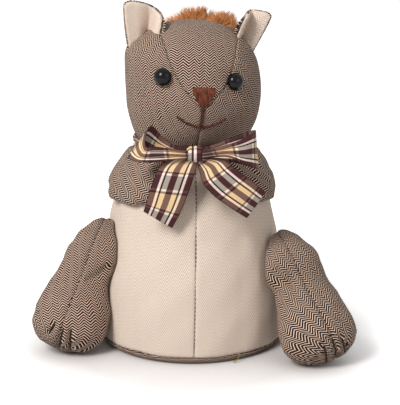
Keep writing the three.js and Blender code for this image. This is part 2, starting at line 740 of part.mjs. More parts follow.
function collarRing() {
  const half = COLLAR_HEIGHT / 2;
  const inner = COLLAR_RADIUS - COLLAR_THICKNESS;
  const points = [
    [inner, -half],
    [COLLAR_RADIUS, -half * 0.7],
    [COLLAR_RADIUS, half * 0.7],
    [inner, half],
    [inner, -half],
  ].map(([r, z]) => new THREE.Vector2(r, NECK_HEIGHT + TOUCH_GAP + half + z));
  return solid(turned(points, 20).translate(0, -HEAD_FORWARD * 0.7, 0));
}

function knot() {
  const place = (x, y, z) =>
    vec((x * KNOT_WIDTH) / 2, (y * KNOT_DEPTH) / 2, (z * KNOT_HEIGHT) / 2).add(knotMiddle);
  return solid(stuffed(place, 10, 7, 3));
}

// From the knot, along the far layer to the fold, and back to the knot along the near layer.
function bowLoop(side) {
  const at = (x, y, z) => vec(side * x * LOOP_REACH, y * LOOP_OPEN, z * RIBBON_WIDTH).add(knotMiddle);
  const fold = side < 0 ? { lean: vec(0.62, 0.1, 0.85), rise: 0.4 } : { lean: vec(-0.1, 0.1, 1), rise: 0.17 };
  return ribbonStrip(
    [
      [at(0.02, 0.15, 0.05), vec(0, 0.2, 1), 0.3],
      [at(0.35, 0.5, 0.1 + fold.rise * 0.5), vec(side * -0.15, 0.3, 1), 0.6],
      [at(0.75, 0.6, fold.rise * 1.05), fold.lean, 0.95],
      [at(1, 0, fold.rise), fold.lean, 1.05],
      [at(0.78, -0.6, fold.rise * 0.45), fold.lean.clone().add(vec(0, -0.5, 0)), 0.95],
      [at(0.35, -0.45, fold.rise * 0.1 - 0.05), vec(0, -0.35, 1), 0.65],
      [at(0.02, -0.1, 0), vec(0, 0, 1), 0.35],
    ],
    14,
  );
}

function bowTail(side) {
  const drop = TAIL_END_DROP;
  const rest = ARM_THICKNESS + 4 * RIBBON_THICKNESS;
  // A point over the chest and the arms, at a share of the drop below the knot.
  const over = (x, share, lift = 0) => {
    const level = knotMiddle.z - drop * share;
    const away = knotMiddle.x + x * drop;
    const radius = bodyRadius(level) + rest + lift;
    return vec(away, -Math.sqrt(Math.max(radius ** 2 - away ** 2, 1)), level);
  };
  if (side < 0) {
    return ribbonStrip(
      [
        [knotMiddle.clone().add(vec(-1, 0, -3)), vec(1, 0, -0.2), 0.4],
        [over(-0.13, 0.2, 3), vec(1, 0, -0.25), 0.8],
        [over(-0.32, 0.5, 2), vec(1, 0, -0.27), 1.02],
        [over(-0.46, 0.76, 1), vec(1, 0.03, -0.35), 1.02],
        [over(-0.6, 1), vec(1, 0.05, -0.42), 1.02],
      ],
      8,
      0.3,
    );
  }
  return ribbonStrip(
    [
      [knotMiddle.clone().add(vec(1, 0, -3)), vec(1, 0, -0.1), 0.4],
      [over(0.2, 0.18, 2), vec(1, -0.1, 0.15), 0.75],
      [over(0.42, 0.38, 2), vec(0.75, 0.1, 0.7), 0.98],
      [over(0.68, 0.58, 1), vec(0.62, 0.2, 0.78), 1],
      [over(0.94, 0.76), vec(0.6, 0.3, 0.8), 1],
    ],
    8,
  );
}

function ribbon(armSolids) {
  const reach = -knotMiddle.y - COLLAR_RADIUS + COLLAR_THICKNESS / 2;
  const knotFoot = solid(
    new THREE.BoxGeometry(KNOT_WIDTH * 0.6, reach, COLLAR_HEIGHT * 0.7).translate(
      knotMiddle.x,
      knotMiddle.y + reach / 2,
      NECK_HEIGHT + TOUCH_GAP + COLLAR_HEIGHT / 2,
    ),
  );
  let made = collarRing().add(knotFoot).add(knot());
  for (const side of Object.values(sides)) made = made.add(bowLoop(side)).add(bowTail(side));
  made = made.subtract(headInPlace);
  for (const armSolid of armSolids) made = made.subtract(solid(grown(geometryOf(armSolid), TOUCH_GAP)));
  return mainPiece(made.subtract(bodyKeepOut));
}

// Finishes

function cloth(color, roughness = 0.95) {
  return new THREE.MeshStandardMaterial({ color, roughness, metalness: 0 });
}

const tweed = cloth(0x8a7566);
const linen = cloth(0xddcfbb);
const fur = cloth(0xc07a3c);
const plaid = cloth(0x6b3f3c, 0.6);
const thread = cloth(0x6e3420, 0.7);
const sandCloth = cloth(0xe6e2d8);
const filling = cloth(0xf4f2ee);
const eyePlastic = new THREE.MeshStandardMaterial({ color: 0x101012, roughness: 0.08, metalness: 0 });
const washerPlastic = new THREE.MeshStandardMaterial({ color: 0xe9e9e4, roughness: 0.5, metalness: 0 });

const squirrel = new THREE.Group();

function piece(name, manifold, material) {
  const mesh = new THREE.Mesh(geometryOf(manifold), material);
  mesh.name = name;
  squirrel.add(mesh);
  return manifold;
}

piece("front_panel_left", bodyPanel(-SIDE_SEAM_ANGLE, FRONT_SEAM_ANGLE), linen);
piece("front_panel_right", bodyPanel(FRONT_SEAM_ANGLE, SIDE_SEAM_ANGLE), linen);
piece("back_panel", bodyPanel(SIDE_SEAM_ANGLE, 360 - SIDE_SEAM_ANGLE), tweed);
piece("base_panel", basePanel(), tweed);
const bag = piece("sand_bag", sandBag(), sandCloth);
piece("body_filling", bodyFilling(bag), filling);

piece("head_gusset", headGusset(), tweed);
piece("head_filling", headFilling(), filling);
piece("nose_stitching", inHead(mainPiece(stitched(noseShape()))), thread);
piece("mouth_stitching", inHead(mainPiece(stitched(mouthShape()))), thread);

const armSolids = [];
for (const [name, side] of Object.entries(sides)) {
  piece(`head_side_${name}`, headSide(side), tweed);
  piece(`eye_${name}`, inHead(eyeSolid(side)), eyePlastic);
  piece(`eye_washer_${name}`, inHead(eyeWasher(side)), washerPlastic);
  piece(`ear_back_${name}`, earPanel(EARS[name], false), tweed);
  piece(`ear_lining_${name}`, earPanel(EARS[name], true), linen);
  armSolids.push(piece(`arm_${name}`, arm(side), tweed));
  piece(`leg_${name}`, leg(LEGS[name]), tweed);
}
piece("tail", tail(armSolids), fur);
piece("ribbon_bow", ribbon(armSolids), plaid);

export default squirrel;
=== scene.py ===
# A weighted cloth door stop sewn as a sitting squirrel. Metres, +Z up, the face looks along -Y.
import math

import bpy
import numpy as np
from mathutils import Matrix, Vector
from mathutils.bvhtree import BVHTree


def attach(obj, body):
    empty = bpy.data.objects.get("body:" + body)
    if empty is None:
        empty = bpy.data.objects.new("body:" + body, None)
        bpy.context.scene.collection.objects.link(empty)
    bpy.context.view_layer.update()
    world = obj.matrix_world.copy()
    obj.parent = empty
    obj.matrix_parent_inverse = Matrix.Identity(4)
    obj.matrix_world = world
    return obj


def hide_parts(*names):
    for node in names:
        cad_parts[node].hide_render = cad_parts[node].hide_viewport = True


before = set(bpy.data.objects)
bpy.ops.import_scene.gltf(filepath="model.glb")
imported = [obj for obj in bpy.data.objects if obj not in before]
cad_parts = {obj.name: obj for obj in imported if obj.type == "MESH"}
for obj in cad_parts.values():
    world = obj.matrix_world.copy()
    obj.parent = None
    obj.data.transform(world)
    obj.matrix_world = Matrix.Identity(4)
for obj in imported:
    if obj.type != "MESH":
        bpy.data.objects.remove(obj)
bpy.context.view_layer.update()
scene = bpy.context.scene


# Camera, lamps and floor
# The squirrel is seen from a few steps away and a little above, on a white sweep, in the light of a
# large soft lamp at the upper left and a weaker one at the right.

LOOKED_AT = Vector((0.0064, 0, 0.1085))
CAMERA_RISE = math.radians(16)
CAMERA_DISTANCE = 1.15

away = Vector((0, -math.cos(CAMERA_RISE), math.sin(CAMERA_RISE)))
bpy.ops.object.camera_add(
    location=LOOKED_AT + away * CAMERA_DISTANCE,
    rotation=(math.radians(90) - CAMERA_RISE, 0, 0),
)
camera = bpy.context.object
camera.name = "camera"
camera.data.sensor_width = 36
camera.data.lens = 128
scene.camera = camera
scene.view_settings.view_transform = "Standard"


def lamp(name, place, width, tall, power):
    bpy.ops.object.light_add(type="AREA", location=place)
    made = bpy.context.object
    made.name = name
    made.data.shape = "RECTANGLE"
    made.data.size, made.data.size_y = width, tall
    made.data.energy = power
    made.rotation_euler = (LOOKED_AT - Vector(place)).to_track_quat("-Z", "Y").to_euler()


lamp("key_lamp", (-1.0, -1.25, 1.5), 0.7, 0.9, 41)
lamp("fill_lamp", (1.4, -1.2, 0.9), 1.1, 1.1, 5.5)


def give(node, inputs):
    """Sets a node's inputs to these numbers and colours, and links to them what is a socket."""
    for name, value in dict(inputs).items():
        if isinstance(value, bpy.types.NodeSocket):
            node.id_data.links.new(value, node.inputs[name])
        else:
            node.inputs[name].default_value = value


def add(tree, kind, inputs=(), **settings):
    made = tree.nodes.new("ShaderNode" + kind)
    for name, value in settings.items():
        setattr(made, name, value)
    give(made, inputs)
    return made


def calc(tree, operation, a, b=0.0):
    return add(tree, "Math", {0: a, 1: b}, operation=operation).outputs[0]


def blend(tree, share, a, b):
    """The colour at this share of the way from a to b."""
    return add(tree, "Mix", {"Factor": share, "A": a, "B": b}, data_type="RGBA").outputs["Result"]


def on_piece(tree):
    return add(tree, "TexCoord").outputs["Object"]


def seen_directly(tree):
    """1 for what the camera sees, straight, in a gloss or through glass, and 0 for what lights the object."""
    path = add(tree, "LightPath").outputs
    seen = calc(tree, "ADD", path["Is Camera Ray"], path["Is Glossy Ray"])
    return calc(tree, "MINIMUM", calc(tree, "ADD", seen, path["Is Transmission Ray"]), 1.0)


world = bpy.data.worlds.new("studio")
scene.world = world
world.use_nodes = True
tree = world.node_tree
WORLD_LIGHT = 0.35
strength = calc(tree, "ADD", calc(tree, "MULTIPLY", seen_directly(tree), 1 - WORLD_LIGHT), WORLD_LIGHT)
tree.links.new(strength, tree.nodes["Background"].inputs["Strength"])
tree.nodes["Background"].inputs["Color"].default_value = (1, 1, 1, 1)

bpy.ops.mesh.primitive_plane_add(size=16, location=(0, 4, 0))
bpy.ops.object.transform_apply(location=True)
floor = bpy.context.object
floor.name = "floor"
paper = bpy.data.materials.new("white_paper")
paper.use_nodes = True
tree = paper.node_tree
tree.nodes.clear()
# The paper turns pure white further out. Beside the feet its glow is weaker, and its colour and glow are
# darkened by painted shadow from an ambient occlusion node.
BETWEEN_FEET = (0.0, -0.03, 0.0)
seen = seen_directly(tree)
out_from_feet = add(tree, "VectorMath", {0: on_piece(tree), 1: BETWEEN_FEET}, operation="DISTANCE")
out_from_feet = out_from_feet.outputs["Value"]
whiter = {"Value": out_from_feet, "From Min": 0.09, "From Max": 0.18, "To Min": 0.06, "To Max": 0.7}
whiten = add(tree, "MapRange", whiter).outputs[0]
# Painted shadow: ambient occlusion darkens the paper's seen colour and its glow near the object.
painted_shadow_ao = add(tree, "AmbientOcclusion", {"Distance": 0.05}, samples=8).outputs["AO"]
painted_shadow_ao = calc(tree, "POWER", painted_shadow_ao, 0.9)
painted_shadow_colour = blend(tree, painted_shadow_ao, (0.4, 0.35, 0.33, 1), (0.9, 0.88, 0.87, 1))
matte = add(tree, "BsdfDiffuse", {"Color": blend(tree, seen, (0.5, 0.49, 0.48, 1), painted_shadow_colour)})
whiten = calc(tree, "MULTIPLY", whiten, painted_shadow_ao)
glow = add(tree, "Emission", {"Strength": calc(tree, "MULTIPLY", seen, whiten)})
both = add(tree, "AddShader", {0: matte.outputs[0], 1: glow.outputs[0]})
add(tree, "OutputMaterial", {"Surface": both.outputs[0]})
floor.data.materials.append(paper)


# Body cover: two cream linen fronts and a tweed back, sewn into a bell
# The linen is woven in a faint herringbone. The fronts meet in a straight seam down the middle, which
# shows its dark thread, and each panel turns in where it is sewn.

CLOTH = 0.0015
# Sewing draws an edge in over this distance, and puckers it in waves this high, long and wide.
DRAWN_IN = 0.0012
PUCKER, PUCKER_LENGTH, PUCKER_WIDTH = 0.00018, 0.0058, 0.004
SIDE_SEAM = math.radians(104)
BELL_SEAM_START = (0.076, 0.0055)
# Each stretch of the bell's outline: (radius, height) of its two handles and its end.
BELL_STRETCHES = [
    [(0.077, 0.043), (0.07, 0.0742), (0.0655, 0.095)],
    [(0.0626, 0.1138), (0.0574, 0.1295), (0.05, 0.142)],
    [(0.0457, 0.1499), (0.0413, 0.1549), (0.037, 0.1572)],
    [(0.037, 0.1585), (0.037, 0.1597), (0.037, 0.161)],
]


def rgb(red, green, blue):
    """A colour as it looks on a screen, in the linear values that a shader takes."""
    parts = [value / 255 for value in (red, green, blue)]
    return (*[v / 12.92 if v < 0.04 else ((v + 0.055) / 1.055) ** 2.4 for v in parts], 1)


def bezier(start, stretches, steps=24):
    line = [start]
    for first, second, end in stretches:
        t = np.linspace(0, 1, steps + 1)[1:, None]
        points = [np.array(p) for p in (line[-1], first, second, end)]
        weights = [(1 - t) ** 3, 3 * t * (1 - t) ** 2, 3 * t**2 * (1 - t), t**3]
        line += [tuple(p) for p in sum(w * p for w, p in zip(weights, points))]
    return np.array(line)


def run_of(line):
    """Distance along a line from its start, at each of its points."""
    return np.concatenate([[0], np.cumsum(np.linalg.norm(np.diff(line, axis=0), axis=1))])


BELL = bezier(BELL_SEAM_START, BELL_STRETCHES)


def smoothstep(value, low, high):
    t = np.clip((value - low) / (high - low), 0, 1)
    return t * t * (3 - 2 * t)


def waver(points, size, seed):
    """Soft unevenness from -1 to 1, with waves of about this size."""
    chance = np.random.default_rng(seed)
    total = 0
    for _ in range(7):
        direction = chance.normal(size=3)
        wave = 2 * math.pi / (size * chance.uniform(0.6, 1.5) * np.linalg.norm(direction))
        total = total + np.sin(points @ (direction * wave) + chance.uniform(0, 6.3))
    return total / 3.5


def edit(piece, *steps):
    """Runs edit mode operators on all of a piece: (operator, its settings)."""
    bpy.ops.object.select_all(action="DESELECT")
    piece.select_set(True)
    bpy.context.view_layer.objects.active = piece
    bpy.ops.object.mode_set(mode="EDIT")
    for operator, settings in steps:
        bpy.ops.mesh.select_all(action="SELECT")
        operator(**settings)
    bpy.ops.object.mode_set(mode="OBJECT")


def modify(piece, kind, **settings):
    made = piece.modifiers.new(kind.lower(), kind)
    for name, value in settings.items():
        setattr(made, name, value)
    bpy.context.view_layer.objects.active = piece
    bpy.ops.object.modifier_apply(modifier=made.name)


def lay_cloth(
    name, surface, flat, columns, rows, sewn=(), thickness=CLOTH,
    lift=0.0, roll=0.0009, ripple=0.0004, cut=None, seed=1, centred=False,
):
    """A panel of cloth: a grid laid on surface(u, v), turned in at its sewn edges and thickened inwards.

    flat(u, v, along_u, along_v) says where each point was on the cloth before it was cut out.
    """
    bpy.ops.object.select_all(action="DESELECT")
    bpy.ops.mesh.primitive_grid_add(x_subdivisions=columns, y_subdivisions=rows, size=1)
    panel = bpy.context.object
    panel.name = name
    mesh = panel.data
    mesh.name = name
    raw = np.empty(len(mesh.vertices) * 3)
    mesh.vertices.foreach_get("co", raw)
    u, v = raw[0::3] + 0.5, raw[1::3] + 0.5
    order = np.lexsort((u.round(5), v.round(5)))
    u, v = u[order], v[order]
    points = surface(u, v).reshape(rows + 1, columns + 1, 3)

    def run(axis):
        steps = np.linalg.norm(np.diff(points, axis=axis), axis=2)
        return np.insert(np.cumsum(steps, axis=axis), 0, 0, axis=axis)

    along_u, along_v = run(1), run(0)
    out = np.cross(np.gradient(points, axis=1), np.gradient(points, axis=0))
    size = np.linalg.norm(out, axis=2, keepdims=True)
    out = out / np.maximum(size, 1e-15)
    for pole, beside in ((0, 1), (-1, -2)):
        if size[:, pole].max() < 1e-10:
            middle = out[:, beside].mean(axis=0)
            out[:, pole] = middle / np.linalg.norm(middle)
    height = lift + ripple * waver(points, 0.03, seed)
    edges = {
        "left": (along_u, along_v),
        "right": (along_u[:, -1:] - along_u, along_v),
        "low": (along_v, along_u),
        "top": (along_v[-1:] - along_v, along_u),
    }
    for edge in sewn:
        off, along = edges[edge]
        pucker = PUCKER * np.sin(along * 2 * math.pi / PUCKER_LENGTH + 1.7 * np.sin(along * 90))
        height = height - roll * np.exp(-((off / DRAWN_IN) ** 2))
        height = height + pucker * np.exp(-((off / PUCKER_WIDTH) ** 2))
    placed = np.empty((len(order), 3))
    placed[order] = (points + out * height[..., None]).reshape(-1, 3)
    mesh.vertices.foreach_set("co", placed.ravel())
    cloth = np.empty((len(order), 2))
    cloth[order] = np.stack(flat(u, v, along_u.ravel(), along_v.ravel()), axis=1)
    corner = np.empty(len(mesh.loops), np.int32)
    mesh.loops.foreach_get("vertex_index", corner)
    mesh.uv_layers[0].name = "Weave"
    mesh.uv_layers[0].data.foreach_set("uv", cloth[corner].ravel())
    mesh.update()
    steps = [(bpy.ops.mesh.remove_doubles, {"threshold": 1e-6})]
    if cut:
        steps.append((bpy.ops.mesh.bisect, {"plane_co": cut[0], "plane_no": cut[1], "clear_inner": True}))
    edit(panel, *steps)
    modify(panel, "SOLIDIFY", thickness=thickness, offset=0 if centred else -1)
    bpy.ops.object.shade_smooth()
    return panel


def turned(a, b, degrees):
    """Cloth places after the panel's paper pattern was turned on the cloth."""
    angle = math.radians(degrees)
    return a * math.cos(angle) - b * math.sin(angle), a * math.sin(angle) + b * math.cos(angle)


def front_seam_at(height):
    """Angle of the front seam, which leans a little to the right as it rises."""
    return np.radians(1.4 + 17 * height)


def upright_at(turn):
    return lambda height: np.full_like(height, turn)


def bell_panel(name, start, end, grain, columns):
    """start, end and grain give an angle at each height: the panel's two edges, and a column of its weave."""
    share = run_of(BELL) / run_of(BELL)[-1]

    def spread(u, v):
        radius = np.interp(v, share, BELL[:, 0])
        height = np.interp(v, share, BELL[:, 1])
        return radius, height, start(height) + (end(height) - start(height)) * u

    def surface(u, v):
        radius, height, angle = spread(u, v)
        return np.stack((np.sin(angle) * radius, -np.cos(angle) * radius, height), axis=1)

    def flat(u, v, along_u, along_v):
        radius, height, angle = spread(u, v)
        return (angle - grain(height)) * radius, along_v

    return lay_cloth(name, surface, flat, columns, 124, ("left", "right", "low"), ripple=0.0006, seed=3)


def new_material(name):
    made = bpy.data.materials.new(name)
    made.use_nodes = True
    return made, made.node_tree, made.node_tree.nodes["Principled BSDF"]


def herringbone_weave():
    """Node group: zigzag stripes of a herringbone. Stripe is 1 on the raised yarn, Yarn is its fine twist."""
    group = bpy.data.node_groups.new("herringbone_weave", "ShaderNodeTree")
    face = group.interface
    face.new_socket("Cloth", in_out="INPUT", socket_type="NodeSocketVector")
    sizes = {"Column": 0.0038, "Pitch": 0.00185, "Steepness": 0.95, "Bias": 0.0, "Edge": 0.35}
    for name, value in sizes.items():
        face.new_socket(name, in_out="INPUT", socket_type="NodeSocketFloat").default_value = value
    for name in ("Stripe", "Yarn", "Height"):
        face.new_socket(name, in_out="OUTPUT", socket_type="NodeSocketFloat")
    given = group.nodes.new("NodeGroupInput").outputs
    place = add(group, "SeparateXYZ", {0: given["Cloth"]}).outputs
    sway = add(group, "TexNoise", {"Vector": given["Cloth"], "Scale": 110.0, "Detail": 1.0}).outputs["Fac"]
    drift = calc(group, "MULTIPLY", calc(group, "SUBTRACT", sway, 0.5), 0.0016)
    across = calc(group, "ADD", place["X"], drift)
    up = calc(group, "ADD", place["Y"], drift)
    zigzag = calc(group, "PINGPONG", calc(group, "DIVIDE", across, given["Column"]), 1.0)
    climb = calc(group, "MULTIPLY", calc(group, "MULTIPLY", zigzag, given["Column"]), given["Steepness"])
    phase = calc(group, "DIVIDE", calc(group, "ADD", up, climb), given["Pitch"])
    wave = calc(group, "SINE", calc(group, "MULTIPLY", phase, 2 * math.pi))
    low = calc(group, "SUBTRACT", given["Bias"], given["Edge"])
    high = calc(group, "ADD", given["Bias"], given["Edge"])
    ranges = {"Value": wave, "From Min": low, "From Max": high}
    stripe = add(group, "MapRange", ranges, interpolation_type="SMOOTHSTEP").outputs[0]
    twist = calc(group, "SINE", calc(group, "MULTIPLY", across, 2 * math.pi / 0.00062))
    yarn = calc(group, "ADD", calc(group, "MULTIPLY", twist, 0.5), 0.5)
    height = calc(group, "ADD", calc(group, "MULTIPLY", stripe, 0.75), calc(group, "MULTIPLY", yarn, 0.25))
    out = group.nodes.new("NodeGroupOutput").inputs
    group.links.new(stripe, out["Stripe"])
    group.links.new(yarn, out["Yarn"])
    group.links.new(height, out["Height"])
    return group


WEAVE = herringbone_weave()
FADING = 0.16


def noise(tree, scale, detail, **inputs):
    """Soft blotches from 0 to 1 that stay in place on the piece."""
    inputs = {"Vector": on_piece(tree), "Scale": scale, "Detail": detail, **inputs}
    return add(tree, "TexNoise", inputs).outputs["Fac"]


def between(tree, value, low, high):
    return add(tree, "MapRange", {"Value": value, "To Min": low, "To Max": high}).outputs[0]


def bumped(tree, height, strength, distance):
    given = {"Height": height, "Strength": strength, "Distance": distance}
    return add(tree, "Bump", given).outputs[0]


def woven_material(name, light, dark, mottle, uneven, depth, sheen, **sizes):
    """Herringbone cloth of light and dark yarn, with its colour uneven from yarn to yarn."""
    made, tree, shader = new_material(name)
    cloth = add(tree, "UVMap", uv_map="Weave").outputs[0]
    weave = add(tree, "Group", {"Cloth": cloth, **sizes}, node_tree=WEAVE).outputs
    dim = calc(tree, "SUBTRACT", 1.0, calc(tree, "MULTIPLY", noise(tree, 900.0, 2.0), uneven))
    yarns = blend(tree, calc(tree, "MULTIPLY", weave["Stripe"], dim), dark, light)
    faded = calc(tree, "MULTIPLY", noise(tree, 38.0, 3.0), FADING)
    give(shader, {
        "Base Color": blend(tree, faded, yarns, mottle),
        "Roughness": between(tree, weave["Yarn"], 0.82, 0.95),
        "Normal": bumped(tree, weave["Height"], 0.7, depth),
        "Sheen Weight": sheen,
        "Sheen Roughness": 0.5,
        "Specular IOR Level": 0.25,
    })
    return made


linen = woven_material(
    "cream_linen", rgb(255, 241, 228), rgb(203, 178, 158), rgb(216, 196, 178), 0.6, 0.0004, 0.02,
    Column=0.0055, Pitch=0.0028, Steepness=2.0, Bias=-0.3,
)
tweed = woven_material(
    "brown_tweed", rgb(255, 222, 198), rgb(10, 4, 3), rgb(112, 80, 64), 0.2, 0.0003, 0.0,
    Pitch=0.0021, Bias=0.6, Edge=0.15,
)


def finish(piece, material, slot_name, *nodes):
    piece.data.materials.clear()
    piece.data.materials.append(material)
    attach(piece, "root")
    if nodes:
        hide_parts(*nodes)
    return piece


left_seam_at, right_seam_at = upright_at(-SIDE_SEAM), upright_at(SIDE_SEAM)
front_left = bell_panel("body_front_left", left_seam_at, front_seam_at, front_seam_at, 100)
finish(front_left, linen, "linen", "front_panel_left")
front_right = bell_panel("body_front_right", front_seam_at, right_seam_at, front_seam_at, 100)
finish(front_right, linen, "linen", "front_panel_right")
back = bell_panel("body_back", right_seam_at, upright_at(2 * math.pi - SIDE_SEAM), upright_at(math.pi), 130)
finish(back, tweed, "tweed", "back_panel")


# Base: a round of tweed under the sand
# It lies flat on the floor and turns up at the rim to meet the bell.

BASE_OUTLINE = bezier((0.0, 0.0), [
    [(0.023, 0.0), (0.046, 0.0), (0.069, 0.0)],
    [(0.0732, 0.0), (0.0755, 0.0018), (0.076, 0.0055)],
])
BASE_SHARE = run_of(BASE_OUTLINE) / run_of(BASE_OUTLINE)[-1]


def base_surface(u, v):
    radius = np.interp(u, BASE_SHARE, BASE_OUTLINE[:, 0])
    height = np.interp(u, BASE_SHARE, BASE_OUTLINE[:, 1])
    angle = -2 * math.pi * v
    return np.stack((np.cos(angle) * radius, np.sin(angle) * radius, height), axis=1)


def base_flat(u, v, along_u, along_v):
    return along_u * np.cos(2 * math.pi * v), -along_u * np.sin(2 * math.pi * v)


base = lay_cloth("body_base", base_surface, base_flat, 60, 220, ("right",), ripple=0.0, roll=0.0006)
finish(base, tweed, "tweed", "base_panel")


# Seam thread
# Dark thread shows as small stitches in the valley of each seam. A stitch is a short length of thread
# whose ends dive into the cloth.


def thread_material(name, light, dark, shine=0.55):
    """Twisted thread: fine slanting ridges, with a painted highlight that makes them lighter on their tops.
    """
    made, tree, shader = new_material(name)
    place = on_piece(tree)
    twist = {"Vector": place, "Scale": 900.0, "Distortion": 1.5, "Detail": 1.0}
    ridges = add(tree, "TexWave", twist).outputs["Fac"]
    upright = add(tree, "VectorMath", {0: place, 1: (1.0, 1.0, 0.1)}, operation="MULTIPLY").outputs[0]
    grain = add(tree, "TexNoise", {"Vector": upright, "Scale": 900.0}).outputs["Fac"]
    grain = add(tree, "MapRange", {"Value": grain, "From Min": 0.35, "From Max": 0.65}).outputs[0]
    # Painted highlight: the colour is lighter on the top of each ridge.
    painted_ridge_highlight = calc(tree, "ADD", calc(tree, "MULTIPLY", ridges, 0.4), 0.6)
    give(shader, {
        "Base Color": blend(tree, calc(tree, "MULTIPLY", painted_ridge_highlight, grain), dark, light),
        "Normal": bumped(tree, ridges, 0.5, 0.0001),
        "Roughness": shine,
        "Specular IOR Level": 0.25,
    })
    return made


def threads(name, lines, radius, ends=0.6):
    """One piece of several lengths of thread. Each line is a list of points."""
    curve = bpy.data.curves.new(name, "CURVE")
    curve.dimensions = "3D"
    curve.bevel_depth = radius
    curve.bevel_resolution = 3
    curve.use_fill_caps = True
    for line in lines:
        line = np.asarray(line)
        spline = curve.splines.new("POLY")
        spline.points.add(len(line) - 1)
        spline.points.foreach_set("co", np.hstack((line, np.ones((len(line), 1)))).ravel())
        share = np.linspace(0, 1, len(line))
        thick = ends + (1 - ends) * np.sin(math.pi * share) ** 0.5
        spline.points.foreach_set("radius", thick)
    piece = bpy.data.objects.new(name, curve)
    scene.collection.objects.link(piece)
    bpy.ops.object.select_all(action="DESELECT")
    piece.select_set(True)
    bpy.context.view_layer.objects.active = piece
    bpy.ops.object.convert(target="MESH")
    bpy.ops.object.shade_smooth()
    return piece


def stitches(line, inward, length=0.0017, gap=0.0015, sink=0.0006):
    """Stitches along a line of points. inward is the direction into the cloth at each point."""
    run = run_of(line)
    lines = []
    start = gap
    while start + length < run[-1]:
        at = np.linspace(start, start + length, 6)
        points = np.stack([np.interp(at, run, line[:, k]) for k in range(3)], axis=1)
        into = np.stack([np.interp(at, run, inward[:, k]) for k in range(3)], axis=1)
        dive = sink * (1 - np.sin(math.pi * np.linspace(0, 1, 6)) ** 0.7)
        lines.append(points + into * dive[:, None])
        start += length + gap
    return lines


seam_thread = thread_material("seam_thread", rgb(84, 62, 50), rgb(48, 32, 26))
turn = front_seam_at(BELL[:, 1])
inward = np.stack((-np.sin(turn), np.cos(turn), turn * 0), axis=1)
front_line = np.stack((BELL[:, 0] * 0, BELL[:, 0] * 0, BELL[:, 1]), axis=1) - inward * (BELL[:, :1] - 0.0009)
front_seam = threads("front_seam_stitches", stitches(front_line, inward), 0.00036)
finish(front_seam, seam_thread, "stitching")
rim_turn = np.linspace(-1.5, 1.5, 120)
rim_inward = np.stack((-np.sin(rim_turn), np.cos(rim_turn), rim_turn * 0), axis=1)
rim_line = np.array((0, 0, 0.0054)) - rim_inward * 0.0756
rim_seam = threads("rim_seam_stitches", stitches(rim_line, rim_inward, 0.003, 0.002), 0.00036)
finish(rim_seam, seam_thread, "stitching")
# A dark fleck in the linen, and a loose end of yellow thread at the rim
fleck = threads("linen_fleck", [[(0.0455, -0.0602, 0.0262), (0.0459, -0.0602, 0.0254)]], 0.0004)
finish(fleck, seam_thread, "stitching")
loose_end = [
    (0.031, -0.0705, 0.0022), (0.033, -0.071, 0.0008), (0.0355, -0.0705, 0.0026), (0.037, -0.0675, 0.006),
]
yellow_thread = thread_material("loose_yellow_thread", rgb(196, 176, 70), rgb(140, 118, 40))
finish(threads("loose_thread", [loose_end], 0.0004), yellow_thread, "stitching")


# Head: three tweed panels over a firm filling
# A gusset runs from the nose over the crown to the nape, and a side panel lies at each cheek. The two
# sides meet under the nose in the chin seam. The head is turned and tilted a little on the neck.

HEAD_MIDDLE = np.array((0.0008, -0.006, 0.208))
HEAD_TURN = np.array(Matrix.Rotation(math.radians(4.3), 3, "Y") @ Matrix.Rotation(math.radians(9.5), 3, "Z"))
HEAD_HALF = (0.052, 0.049)
CROWN, JAW = 0.0475, 0.058
FULLNESS = 2.25
JAW_FULLNESS = 0.34
# The muzzle on the unit ball, and how far it stands out
MUZZLE_HALF, MUZZLE_LEVEL, MUZZLE_TALL = 0.42, -0.25, 0.4
MUZZLE_OUT = 0.0045
# The filling pushes out at the left temple and the right jaw: (x, z) of the unit ball, and how far out.
FULLER = [(-0.78, 0.5, -0.0062), (0.85, -0.35, 0.0022)]
FULLER_HALF, FULLER_TALL = 0.32, 0.34
NECK_CUT = 0.1612
GUSSET_SPAN = (math.radians(-3), math.radians(218))
SEAMS_MEET = (math.radians(-12), math.radians(229))
GUSSET_COLUMNS, CHEEK_COLUMNS = 72, 70
# Share of the way from nose to nape, and the gusset's half-width there
GUSSET = [(0, 0.009), (0.08, 0.02), (0.22, 0.026), (0.42, 0.031), (0.7, 0.0235), (1, 0.009)]
# The middle of each eye on the face, across and up from the middle of the head
EYES = {"left": (-0.0278, 0.0105), "right": (0.0235, 0.0095)}
EYE_DIMPLE, EYE_DIMPLE_SIZE = 0.0022, 0.0095


def through(stations, share):
    """The smooth curve through these points, at shares of the way from 0 to 1."""
    p = np.asarray(stations, float)
    last = len(p) - 1
    t = np.clip(share, 0, 1) * last
    i = np.minimum(t.astype(int), last - 1)
    f = (t - i)[:, None]
    a, b, c, d = p[np.maximum(i - 1, 0)], p[i], p[i + 1], p[np.minimum(i + 2, last)]
    return 0.5 * (2 * b + (c - a) * f + (2 * a - 5 * b + 4 * c - d) * f**2 + (3 * b - a - 3 * c + d) * f**3)


def on_head(x, y, z):
    """A point of the squared unit ball, carried to the head's skin."""
    muzzle = np.exp(-((x / MUZZLE_HALF) ** 2) - ((z - MUZZLE_LEVEL) / MUZZLE_TALL) ** 2)
    muzzle = muzzle * smoothstep(-y, 0, 0.5)
    jaw = np.where(z < 0, 1 + JAW_FULLNESS * z**4, 1)
    height = z * np.where(z < 0, JAW, CROWN)
    across = x * jaw * HEAD_HALF[0]
    dimple = 0
    for eye_x, eye_z in EYES.values():
        off = ((across - eye_x) ** 2 + (height - eye_z) ** 2) / EYE_DIMPLE_SIZE**2
        dimple = dimple + EYE_DIMPLE * np.exp(-off) * smoothstep(-y, 0, 0.3)
    for full_x, full_z, reach in FULLER:
        off = ((x - full_x) / FULLER_HALF) ** 2 + ((z - full_z) / FULLER_TALL) ** 2
        across = across + reach * np.exp(-off)
    local = np.stack((across, y * jaw * HEAD_HALF[1] - muzzle * MUZZLE_OUT + dimple, height), axis=-1)
    return local @ HEAD_TURN.T + HEAD_MIDDLE


